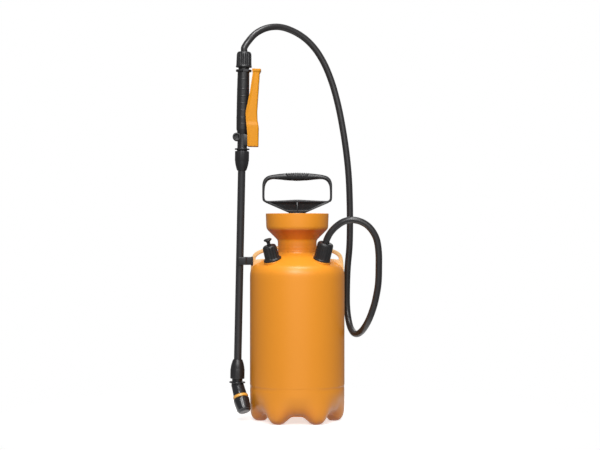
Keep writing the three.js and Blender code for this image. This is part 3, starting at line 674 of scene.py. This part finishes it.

# %% Painted shade: a deeper, redder colour where the wall turns under
# Painted shade: under the funnel's cone, round the neck, in the creases between the feet and at the
# base the colour turns deeper and redder, standing in for shade and for light bounced between
# orange walls.
co = np.empty(len(tank.data.vertices) * 3, np.float32)
tank.data.vertices.foreach_get("co", co)
x, y, z = (co.reshape(-1, 3) / MM - (TANK_X, 0, 0)).T
r, a = np.hypot(x, y), np.arctan2(y, x)
cone = smooth(z, 344, 350) * (1 - smooth(z, 361, 368)) * (r > 36)
neck = 0.25 * smooth(z, 318, 324) * (1 - smooth(z, 336, 344)) * (r < 38)
crease = np.exp(-(((1 - valley_share(a)) / 0.8) ** 2)) * (1 - smooth(z, 6, 46)) * (r > 60)
under = (1 - smooth(z, 0, 12)) * 0.5
painted_shade = np.clip(cone + neck + 0.5 * crease + under, 0, 1)
store = tank.data.attributes.new("painted_shade_share", "FLOAT", "POINT")
store.data.foreach_set("value", painted_shade.astype(np.float32))
print("mean depth of tone", round(float(painted_shade.mean()), 3))


# %% Strap lugs
def strap_lug(side):
    """A bar from the neck over the shoulder's edge, 12 mm wide, with round edges. A low web on
    the shoulder stands behind its foot, and the eye is what stays open between them."""
    outer = [(35, 333), (50, 331.5), (60, 329.3), (70.4, 325.8), (79, 322), (85, 316),
             (87.6, 306), (88.6, 292), (89, 284)]
    inner = [(86.6, 284), (84, 292), (79, 297), (66, 304), (58, 307.6), (66, 308.4),
             (79.6, 306.8), (79.4, 310.5), (76, 314.6), (69, 318.8), (58, 322.4), (48, 325),
             (35, 327)]
    line = rounded([(side * px, pz) for px, pz in outer + inner],
                   [0, 6, 6, 6, 5, 5, 5, 5, 0.8, 0.8, 3, 3, 2, 1, 2, 1.5, 2, 3, 4, 5, 5, 0])
    return plate(line, -6, 6, 1.4)


for side, label in ((1, "right"), (-1, "left")):
    piece(f"strap_lug_{label}", [strap_lug(side)], TANK, "tank", "tank", painted_highlight_orange)

# %% [markdown]
# ## Ports
# The hose is held by a hand nut with shallow flutes, and the relief valve by a body of the same
# family with rounder ones. Both are turned profiles whose outside a rule scores, so the grooves
# are real and run out softly at both ends. The valve's pull knob is a small mushroom on a stem.

# %% Outlet nut
nut_line = rounded(
    [(11.4, 1.5), (16.5, 1.5), (16.5, 3.8), (15.5, 5.2), (15.3, 31.2), (14.1, 34.6), (11.6, 36),
     (6.7, 36), (6.7, 19.4), (11.4, 19.4)], [0.3, 0.8, 0.8, 1.5, 4, 3, 2, 0.5, 0.3, 0.3])
piece(
    "outlet_hand_nut", [turned(nut_line, 192, flutes(16, 0.75, 6.5, 31, 12.5, 0.62, 2.0))],
    OUTLET, "outlet_nut", "outlet_nut", moulded_black, 40)

# %% Relief valve
valve_line = rounded(
    [(11.4, 1.5), (16.9, 1.5), (16.9, 4.4), (13.9, 6), (13.5, 25.2), (12.3, 29.2), (9.3, 31),
     (3.65, 31), (3.65, 29), (9, 29), (9, 18.8), (4.4, 18.8), (4.4, 16.3), (11.4, 16.3)],
    [0.3, 0.8, 0.8, 1.2, 4, 3, 2.5, 0.5, 0.2, 0.2, 0.2, 0.2, 0.2, 0.2])
piece("relief_valve_body", [turned(valve_line, 200, flutes(10, 1.25, 6.5, 27.5, 8, 0.8, 2.5))],
      RELIEF, "tank", "relief_body", moulded_black, 40)
knob_line = rounded(
    [(0, 14), (3.25, 14), (3.25, 21.4), (7, 21.4), (7, 23), (3.25, 23), (3.25, 35), (3.9, 38.3),
     (7.0, 40.1), (7.85, 41.4), (7.2, 42.9), (4, 43.7), (0, 43.8)],
    [0, 0.4, 0.2, 0.3, 0.3, 0.2, 2, 2, 1.2, 1.2, 1.2, 2, 0], closed=False)
piece("relief_pull_knob", [turned(knob_line, 72)], RELIEF, "relief_plunger", "relief_knob",
      moulded_black, 40)

# %% [markdown]
# ## Lance clip
# The clip reaches from the left strap lug to the lance. Two jaws with rounded tips hold the
# lance's tube, and two cheeks behind a collar grip the lug. It is a plate seen from above, with
# round rims, and the collar is a second plate round the cheeks.

# %% Clip
jaw = 7.85
half = [(-101, 4), (-100, jaw - 1), (-112, jaw), (-113.2, jaw + 1.3), (-112, jaw + 2.6),
        (-98, jaw + 2.6), (-96, 8.8), (-84, 8.8), (-84, 6.4), (-90.2, 6.4)]
softness = [1.5, 0.5, 0.8, 1.3, 1.2, 2, 2, 0.5, 0.3, 0.3]
clip_line = rounded(half + [(px, -py) for px, py in half[::-1]], softness + softness[::-1])
collars = [plate(rounded([(-88, s * 6.6), (-84.2, s * 6.6), (-84.2, s * 9.4), (-88, s * 9.4)],
                         0.6), 296.4, 312.6, 0.6, upright=False) for s in (1, -1)]
piece("lance_holder", [plate(clip_line, 297, 312, 0.9, upright=False), *collars], TANK, "tank",
      "lance_clip", moulded_black, 40)

# %% [markdown]
# ## Pump
# Most of the pump hides in the neck and shows only when it is unscrewed and lifted out, so its
# barrel, head and cap are fine turned profiles. The head's thread is modelled as round rings,
# and the cap has four rounded wings for the fingers.

# %% Barrel, cap, seal and rod
screw_z = np.linspace(327.5, 345, 90)
screw = np.stack([32.5 + 0.55 * np.cos(2 * np.pi * screw_z / 3.5), screw_z], -1)
barrel_line = np.vstack([
    rounded([(19.5, 98), (3.2, 98), (3.2, 95), (22, 95), (22, 347), (30.2, 347), (30.2, 326),
             (32.2, 326)], [0.3, 0.3, 0.3, 1.5, 2, 1, 0.5, 0.3], closed=False),
    screw,
    rounded([(33.1, 346), (33.1, 353.6), (38.5, 353.6), (38.5, 358), (24, 358), (24, 368),
             (19.5, 368)], [0, 0.3, 0.5, 1, 0.4, 0.5, 0], closed=False)])
piece("pump_barrel_skin", [turned(barrel_line, 96)], TANK, "pump", "pump_barrel", moulded_black, 40)
cap_line = rounded([(24.4, 358.3), (27.5, 358.3), (27.5, 371.5), (25.5, 374), (9.4, 374),
                    (9.4, 369), (24.4, 369)], [0.3, 0.5, 2, 1.5, 0.3, 0.3, 0.3])
wing = rounded([(25, -2), (33.4, -2), (33.4, 2), (25, 2)], 1.4)
wings = []
for quarter in range(4):
    spin = turning((0, 0, 1), 45 + 90 * quarter)[:2, :2]
    wings.append(plate(wing @ spin.T, 360.6, 369.4, 1.0, upright=False))
piece("pump_cap_skin", [turned(cap_line, 120, flutes(24, 0.5, 360, 370, 26.5, 0.6)), *wings],
      TANK, "pump", "pump_cap", moulded_black, 40)
piece("pump_seal_skin",
      [turned(rounded([(34, 350.3), (38.3, 350.3), (38.3, 353.3), (34, 353.3)], 0.9), 96)],
      TANK, "pump_seal", "pump_seal_ring", black_rubber)
bush_line = rounded([(6.3, 366.5), (9.1, 366.5), (9.1, 374.3), (11.5, 374.3), (11.5, 376),
                     (6.3, 376)], 0.4)
piece("rod_bush_skin", [turned(bush_line, 64)], TANK, "pump", "rod_bush", natural)
rod_line = rounded([(0, 105), (4, 105), (4, 122.3), (6, 122.3), (6, 394), (0, 394)],
                   [0, 0.5, 0.2, 0.5, 0.8, 0], closed=False)
piece("pump_rod_skin", [turned(rod_line, 48)], TANK, "plunger", "pump_rod", moulded_black)

# %% [markdown]
# ## Handle
# The handle is one moulding: a frame round the hand's window, a webbed gusset below it and a hub
# on the rod. The frame is a section carried round the window, thick along the hand and thin down
# the legs. Each section is a rounded box between two outlines. Upright ridges along the top and
# finer grooves under it stop the hand from slipping.

# %% Handle frame
outer_half = [(0, 472.6), (20, 472), (37, 470.4), (50, 468.5), (58, 466), (64, 460.5),
              (66.7, 452), (66.7, 422.5), (65, 418), (59.4, 415.3), (30, 415.2)]
inner_half = [(0, 456.6), (20, 457.8), (37, 459.9), (48, 460.6), (56.2, 457.6), (61.4, 449),
              (62.4, 438), (62.5, 424), (60.8, 420.3), (57, 419), (30, 420), (4, 421.4)]


def whole(half_line, radius):
    """A half outline and its mirror image as one closed line with round corners."""
    mirror = [(-px, pz) for px, pz in half_line[:0:-1]]
    return rounded(half_line + mirror, radius, 5)


def by_direction(outline, directions, centre):
    """Where a ray from the centre in each direction meets a star-shaped outline: the distance
    is read off the outline's own distances by angle."""
    rel = outline - centre
    angle = np.arctan2(rel[:, 1], rel[:, 0])
    order = np.argsort(angle)
    reach = np.interp(directions, angle[order], np.linalg.norm(rel, axis=1)[order],
                      period=2 * np.pi)
    return centre + reach[:, None] * np.stack([np.cos(directions), np.sin(directions)], -1)


WINDOW_CENTRE = np.array((0.0, 438.0))
HANDLE_Y = 8.0
RIDGE_PITCH = 2.7
outer_line = finer(np.vstack([whole(outer_half, 6), [outer_half[0]]]), 1.0)
inner_line = finer(np.vstack([whole(inner_half, 5), [inner_half[0]]]), 1.0)
top_x = np.arange(-44, 44, 0.3)
top_turn = np.arctan2(26.0, top_x)
legs = np.linspace(-np.pi, np.pi, 260, endpoint=False)
legs = legs[(legs < top_turn.min()) | (legs > top_turn.max())]
directions = np.sort(np.r_[legs, top_turn])
far = by_direction(outer_line, directions, WINDOW_CENTRE)
near_line = by_direction(inner_line, directions, WINDOW_CENTRE)
middle, across = (far + near_line) / 2, (far - near_line) / 2
on_top = smooth(middle[:, 1], 448, 458)
spin = np.linspace(0, 2 * np.pi, 36, endpoint=False)[None]
power = (0.42 + 0.38 * on_top)[:, None]


def lobed(wave):
    """cos or sin raised to the power that runs from a rounded box to an ellipse."""
    return np.sign(wave) * np.abs(wave) ** power


ridge = smooth(np.cos(2 * np.pi * middle[:, :1] / RIDGE_PITCH), -0.4, 0.6)
mid_hand = on_top[:, None] * (1 - smooth(np.abs(middle[:, :1]), 16, 19))
low_hand = on_top[:, None] * (1 - smooth(np.abs(middle[:, :1]), 38, 43)) * (np.sin(spin) < 0.15)
score = 1 + (0.2 * ridge - 0.1) * mid_hand - 0.1 * ridge * low_hand
out_share, deep_share = lobed(np.sin(spin)) * score, lobed(np.cos(spin)) * score
flat = middle[:, None] + across[:, None] * out_share[..., None]
frame_grid = np.stack([flat[..., 0], HANDLE_Y * deep_share, flat[..., 1]], -1)
print("handle frame:", frame_grid.shape[:2], "stations and columns")

# %% Gusset and hub
lower_edge = [(61, 415.8), (52, 416.6), (20.5, 401.4), (0, 401.4), (0, 396.4), (16.5, 396.4)]
gusset = [plate(rounded([(s * px, pz) for px, pz in lower_edge], [1.5, 1, 3, 0, 0, 1.2]),
                -HANDLE_Y, HANDLE_Y, 0.8) for s in (1, -1)]
web = rounded([(57, 416.2), (-57, 416.2), (-18, 399), (18, 399)], 2)
rib = rounded([(-1.6, 399), (1.6, 399), (2.1, 416.5), (-2.1, 416.5)], 0.3)
hub_line = rounded([(0, 394.3), (6.3, 394.3), (6.3, 377), (16.5, 377), (16.5, 396.4), (0, 397)],
                   [0, 0.3, 0.6, 1, 1.5, 0], closed=False)
piece("pump_handle_skin",
      [surface(frame_grid, loop=True), *gusset, plate(web, -1.6, 1.6, 0.4),
       plate(rib, -7.4, 7.4, 0.5), turned(hub_line, 80)],
      TANK, "plunger", "pump_handle", moulded_black, 38)


def pin(radius, half_length):
    """A round pin along Y with soft ends."""
    line = [(0, -half_length), (radius, 0.2 - half_length), (radius, half_length - 0.2),
            (0, half_length)]
    return along_y(turned(rounded(line, [0, 0.6, 0.6, 0], closed=False), 32))


piece("handle_pin_skin", [moved(pin(2, 16.9), z=386)], TANK, "plunger",
      "handle_pin", bright_steel)

# %% [markdown]
# ## Lance grip
# The grip is a round body with thin flanges at both ends and shallow rings along the hand. Below
# it sit the lug of the trigger's pivot, the gland of the valve's stem and, at the back, a round
# boss with a recess, from which the lance can hang.

# %% Grip
ring_heights = np.array([566, 578, 591.4, 605, 618.5, 632, 650.5])
hand = finer([(9.3, 546), (11, 556), (11.4, 575), (11.4, 630), (11, 664.6)], 0.35)
near_ring = np.exp(-(((hand[:, 1:] - ring_heights) / 0.55) ** 2)).sum(1)
hand[:, 0] += 0.34 * near_ring - 0.1 * smooth(hand[:, 1], 560, 566)
low_grip = rounded([(2.6, 562), (2.6, 495), (9.9, 495), (9.9, 516.5), (14, 516.5), (14.2, 519),
                    (9.3, 519.6), (9.3, 545.5)], [0, 0.3, 0.6, 0.3, 0.6, 0.8, 0.8, 0],
                   closed=False)
high_grip = rounded([(11, 665), (15, 665.6), (15, 669.4), (9.8, 669.6), (9.8, 671), (6.5, 671),
                     (6.5, 566)], [0.3, 0.8, 0.8, 0.5, 0.4, 0.3, 0], closed=False)
grip_line = np.vstack([low_grip, hand, high_grip])


def cleared(r, a, z):
    """The top flange is cut flat beside the lever: there |y| stays below 11.7 mm. Along the hand
    the back of the grip is 0.8 mm fuller."""
    r = r + 0.8 * np.clip(-np.cos(a), 0, 1) * (r > 9.2) * smooth(z, 548, 556) * (z < 664.9)
    limit = 11.7 / np.maximum(np.abs(np.sin(a)), 1e-6)
    flange = (z > 664.9) & (z < 669.55) & (np.cos(a) > -0.08) & (r > 11.3)
    return np.where(flange, np.minimum(r, limit), r), z


lug_line = rounded([(0, 524), (18, 524), (20.5, 527), (20.5, 538), (13, 544.5), (0, 548)],
                   [0, 2, 2, 3, 3, 0])
boss_line = rounded([(0, -5.3), (4.9, -5.3), (4.9, -8.5), (8, -8.5), (8.2, 8.5), (4.9, 8.5),
                     (4.9, 5.3), (0, 5.3)], [0, 0.4, 0.5, 1.3, 1.3, 0.5, 0.4, 0], closed=False)
gland_line = rounded([(4.6, 5), (6.4, 5), (6.4, 14), (4.6, 14)], 0.5)
piece("lance_grip",
      [turned(grip_line, 96, cleared), plate(lug_line, -9, 9, 1.2),
       moved(along_y(turned(boss_line, 56)), -10.5, 0, 541),
       moved(along_x(turned(gland_line, 48)), 0, 0, 552)],
      LANCE, "lance", "grip_body", moulded_black, 38)

# %% Hose nut
hose_nut_line = rounded(
    [(11, 674), (15.2, 674), (15.2, 675.6), (14.6, 678.5), (14.1, 698.5), (12.9, 702.6),
     (10.4, 704), (6.7, 704), (6.7, 678.4), (11, 678.4)],
    [0.3, 0.8, 0.6, 1.5, 3, 2.5, 1.5, 0.5, 0.3, 0.3])
piece("hose_hand_nut", [turned(hose_nut_line, 216, flutes(18, 0.85, 677.5, 700, 12, 0.55, 1.5))],
      LANCE, "hose_nut", "hose_nut", moulded_black, 40)

# %% [markdown]
# ## Trigger
# The lever is a channel that closes over the grip. Its section is a U: two side walls and a web
# with round corners. The U is carried up the lever while its depth follows two lines, one for
# the open edges and one for the web. The lower part, over the pivot, is wider than the arm.

# %% Lever
edge_line = np.array([(523, 10.3), (550, 9.4), (570, 6.9), (587, 5.5), (628, 13.1), (664, 17.6),
                      (666, 16.3), (671, 16.3)])
web_line = np.array([(523, 30.8), (560, 30.8), (575, 28), (590, 27.2), (628, 29), (664.5, 30.8),
                     (666, 32.9), (671, 32.9)])
inner_web = np.array([(523, 28.4), (559.6, 28.4), (575, 25.5), (590, 24.7), (628, 26.5),
                      (664, 28.3), (671, 28.3)])
lever_z = np.unique(np.r_[np.linspace(523.6, 670.4, 200), 523, 523.2, 670.8, 671.0])


def soft(line, blur=2.5):
    """A line read off at every station and averaged with its neighbours to round its bends."""
    spread = np.linspace(-blur, blur, 9)[:, None]
    return np.interp(lever_z + spread, line[:, 0], line[:, 1]).mean(0)


edge_x, web_x, hollow_x = soft(edge_line), soft(web_line, 2.0), soft(inner_web)
width = 14.5 - 0.9 * smooth(lever_z, 562, 572) + 0.9 * smooth(lever_z, 664.5, 666.5)
trim = 0.5 * (1 - smooth(lever_z, 523, 523.7)) + 0.5 * smooth(lever_z, 670.3, 671)
corner = np.linspace(0, np.pi / 2, 7)
CHANNEL_Y, LIP, ROUND_OUT, ROUND_IN = 12.2, 0.45, 3.2, 1.6


def lever_section():
    """Half of the U at every station: along the outside from the web's middle, round the corner
    to the open edge, and back along the inside. The edge has a lip that stands out a little."""
    w, e, b, h = (v[:, None] for v in (width - trim, edge_x + trim, web_x - trim, hollow_x + trim))
    outer_y = w - LIP - ROUND_OUT + ROUND_OUT * np.sin(corner)[None]
    outer_x = b - ROUND_OUT + ROUND_OUT * np.cos(corner)[None]
    rail = np.array([0.0, 0.0, 0.0, 1.0, 1.0])[None]
    rail_y = w - LIP + LIP * rail
    rail_x = e + np.array([7.5, 5.5, 3.8, 3.2, 0.3])[None]
    tip_y = np.concatenate([w - 0.3, np.full_like(w, 12.5)], 1)
    tip_x = np.concatenate([e, e], 1)
    inner_y = CHANNEL_Y - ROUND_IN + ROUND_IN * np.sin(corner[::-1])[None] + 0 * w
    inner_x = h - ROUND_IN + ROUND_IN * np.cos(corner[::-1])[None]
    inner_edge_y, inner_edge_x = np.full_like(w, CHANNEL_Y), e + 0.3
    ys = np.concatenate([outer_y, rail_y, tip_y, inner_edge_y, inner_y], 1)
    xs = np.concatenate([outer_x, rail_x, tip_x, inner_edge_x, inner_x], 1)
    return xs, ys


lever_x, lever_y = lever_section()
lever_grid = np.stack([np.concatenate([lever_x, lever_x[:, ::-1]], 1),
                       np.concatenate([lever_y, -lever_y[:, ::-1]], 1),
                       np.repeat(lever_z[:, None], 2 * lever_x.shape[1], 1)], -1)
piece("trigger_lever_skin", [surface(lever_grid, caps=True)], LANCE, "trigger",
      "trigger_lever", trigger_orange, 40)
piece("trigger_pin_skin", [moved(pin(2.6, 13.7), 15, 0, 533)], LANCE, "lance",
      "trigger_pin", bright_steel)

# %% [markdown]
# ## Lance tube and its nuts
# The tube runs from the grip down to the nozzle. Each end has a collar that a nut draws up: a
# ribbed skirt over the thread, then a smooth taper down to the tube, like an ogive.

# %% Lance tube
tube_line = rounded([(5.5, 100), (9.6, 100), (9.6, 103), (7.25, 103), (7.25, 488), (9.6, 488),
                     (9.6, 491), (5.5, 491)], 0.4)
piece("lance_tube_skin", [turned(tube_line, 64)], LANCE, "lance", "lance_tube", tube_black)


def taper_nut(skirt_end, skirt_top, taper_end, shoulder, radius):
    """The profile of a nut whose taper leaves the skirt tangentially and bends in to the tube.
    The skirt itself has twelve shallow grooves."""
    way = np.sign(taper_end - skirt_end)
    t = np.linspace(0, 1, 14)[:, None]
    begin, middle_point, finish_point = (np.array(q, float) for q in (
        (radius - 0.5, skirt_top + way * 1.2), (radius - 0.9, skirt_top + way * 9),
        (8.7, taper_end)))
    ogive = (1 - t) ** 2 * begin + 2 * t * (1 - t) * middle_point + t**2 * finish_point
    skirt = rounded([(10.3, skirt_end), (radius, skirt_end), (radius, skirt_top)],
                    [0, 0.9, 0], closed=False)
    inside_line = np.array([(7.65, taper_end), (7.65, shoulder), (10.3, shoulder)])
    return np.vstack([skirt, ogive, inside_line])


for nut, skirt_end, skirt_top, taper_end, shoulder, radius in (
    ("upper_lance_nut", 514, 496, 477, 487.7, 13.5),
    ("lower_lance_nut", 80, 98, 116.5, 103.3, 13.6),
):
    low, high = sorted((skirt_end, skirt_top))
    grooves = flutes(12, 0.45, low + 1.5, high, radius - 1.2, 0.35, 1.2)
    nut_profile = taper_nut(skirt_end, skirt_top, taper_end, shoulder, radius)
    piece(f"{nut}_skin", [turned(nut_profile, 144, grooves)], LANCE, nut, nut, moulded_black, 40)

# %% [markdown]
# ## Nozzle
# The elbow turns the water thirty degrees away from the lance and carries an orange ring and the
# cap that sets the spray. The elbow is a round section carried round the bend, so that it swells
# smoothly from the socket to the skirt; the cap is a fluted taper with a stepped tip.

# %% Elbow
LEAN = np.radians(NOZZLE_LEAN)
bend_share = np.linspace(0, 1, 40)
upright_part = rounded([(0, 26), (9.9, 26), (10, 4.4), (15.2, 4), (15.2, 1.8), (11, 1.4),
                        (11.2, -8), (0, -13)], [0, 0.8, 0.3, 0.8, 0.8, 0.8, 5, 0], closed=False)
leaning_part = rounded([(0, 5), (6, 5), (11.2, 1.5), (12.2, -12), (13, -24), (9.2, -24),
                        (9.2, -32), (6, -32), (6, -40), (0, -40)],
                       [0, 3, 3, 5, 0.8, 0.3, 0.3, 0.3, 0.5, 0], closed=False)


def swept_elbow():
    """The middle of the bend: the section's plane turns evenly from level to the nozzle's own
    plane while its centre follows an arc and its radius grows from 11 to 12.2 mm."""
    t = bend_share[:, None]
    tilt = -LEAN * t
    start_point, corner_point = np.array((0, 0, 4.0)), np.array((0, 0, 0.0))
    end_point = np.array((np.sin(LEAN), 0, -np.cos(LEAN))) * 12
    centre = (1 - t) ** 2 * start_point + 2 * t * (1 - t) * corner_point + t**2 * end_point
    radius = 11.0 + 1.2 * smooth(t, 0, 1)
    u = np.linspace(0, 2 * np.pi, 72, endpoint=False)[None]
    grid_x = centre[:, :1] + radius * np.cos(u) * np.cos(tilt)
    grid_y = centre[:, 1:2] + radius * np.sin(u)
    grid_z = centre[:, 2:] - radius * np.cos(u) * np.sin(tilt)
    return surface(np.stack([grid_x, grid_y, grid_z], -1), caps=True)


def leaned(shape):
    """A shape of the nozzle's place, written in the swivel's place."""
    return shape[0] @ turning((0, 1, 0), -NOZZLE_LEAN).T, shape[1]


piece("nozzle_elbow_skin",
      [turned(upright_part, 72), leaned(turned(leaning_part, 72)), swept_elbow()], SWIVEL,
      "nozzle", "nozzle_elbow", gloss_black, 45)

# %% Ring and cap
ring_line = rounded([(9.5, -30.2), (13.6, -30.2), (14.5, -29.2), (14.5, -25.6), (13.6, -24.4),
                     (9.5, -24.4)], [0.3, 0.8, 0.8, 1, 0.8, 0.3])
piece("nozzle_ring_skin", [turned(ring_line, 96)], NOZZLE, "nozzle", "nozzle_ring",
      ring_orange_painted_highlight)
cap_profile = rounded(
    [(0.8, -58.6), (9.6, -58.6), (11.2, -57.4), (11.8, -55.2), (13.1, -54.6), (14.3, -45),
     (15.1, -33.4), (14.2, -31), (9.7, -31), (9.7, -34.5), (8.6, -34.5), (8.6, -42), (6.2, -46),
     (6.2, -54.5), (0.8, -54.5)],
    [0.2, 1.5, 1.5, 0.8, 1, 4, 1, 0.8, 0.3, 0.3, 0.3, 0.3, 0.3, 0.3, 0.2])
piece("nozzle_cap_skin", [turned(cap_profile, 160, flutes(10, 0.3, -50, -34, 11.5, 0.3, 2.0))],
      NOZZLE, "nozzle_cap", "nozzle_cap", gloss_black, 45)

# %% [markdown]
# ## Springs
# Two small springs shut the valves. Each lies between a fixed seat and a moving collar.


# %% Coils
def coil(radius, wire, low, high, turns):
    """Wire carried along a helix: (r·cos a, r·sin a, z), with z rising evenly over the turns."""
    a = np.linspace(0, 2 * np.pi * turns, 24 * turns + 1) + np.pi / 2
    z = np.linspace(low + wire, high - wire, len(a))
    line = np.stack([radius * np.cos(a), radius * np.sin(a), z], -1)
    return surface(tube(line, wire, 10), caps=True)


relief_coil = piece("relief_spring_coil", [coil(5.4, 0.4, 23.3, 28.7, 3)], RELIEF, "tank",
                    "relief_spring", bright_steel, move=False)
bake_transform(relief_coil)
valve_coil = piece("valve_spring_coil", [moved(along_x(coil(3.2, 0.3, -8.8, -4.8, 3)), z=552)],
                   LANCE, "lance", "valve_spring", bright_steel, move=False)
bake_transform(valve_coil)

# %% [markdown]
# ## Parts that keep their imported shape
# Small inner parts already have the right shape: seals, the strainer and the valve's steel.
# They only need their finish.

# %% Finishes of the inner parts
kept = {
    black_rubber: ["outlet_gasket", "relief_gasket", "relief_seal", "foot_valve", "piston_cup",
                   "stem_seal", "upper_seal", "lower_seal", "nozzle_o_ring"],
    natural: ["tank_hose_tail", "dip_tube", "dip_strainer", "piston", "grip_filter",
              "swirl_core"],
    moulded_black: ["lance_hose_tail"],
    bright_steel: ["valve_stem", "stem_gland"],
}
for material, names in kept.items():
    for name in names:
        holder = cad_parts[name]
        holder.data.materials.clear()
        holder.data.materials.append(material)
print("kept parts:", sum(len(names) for names in kept.values()))
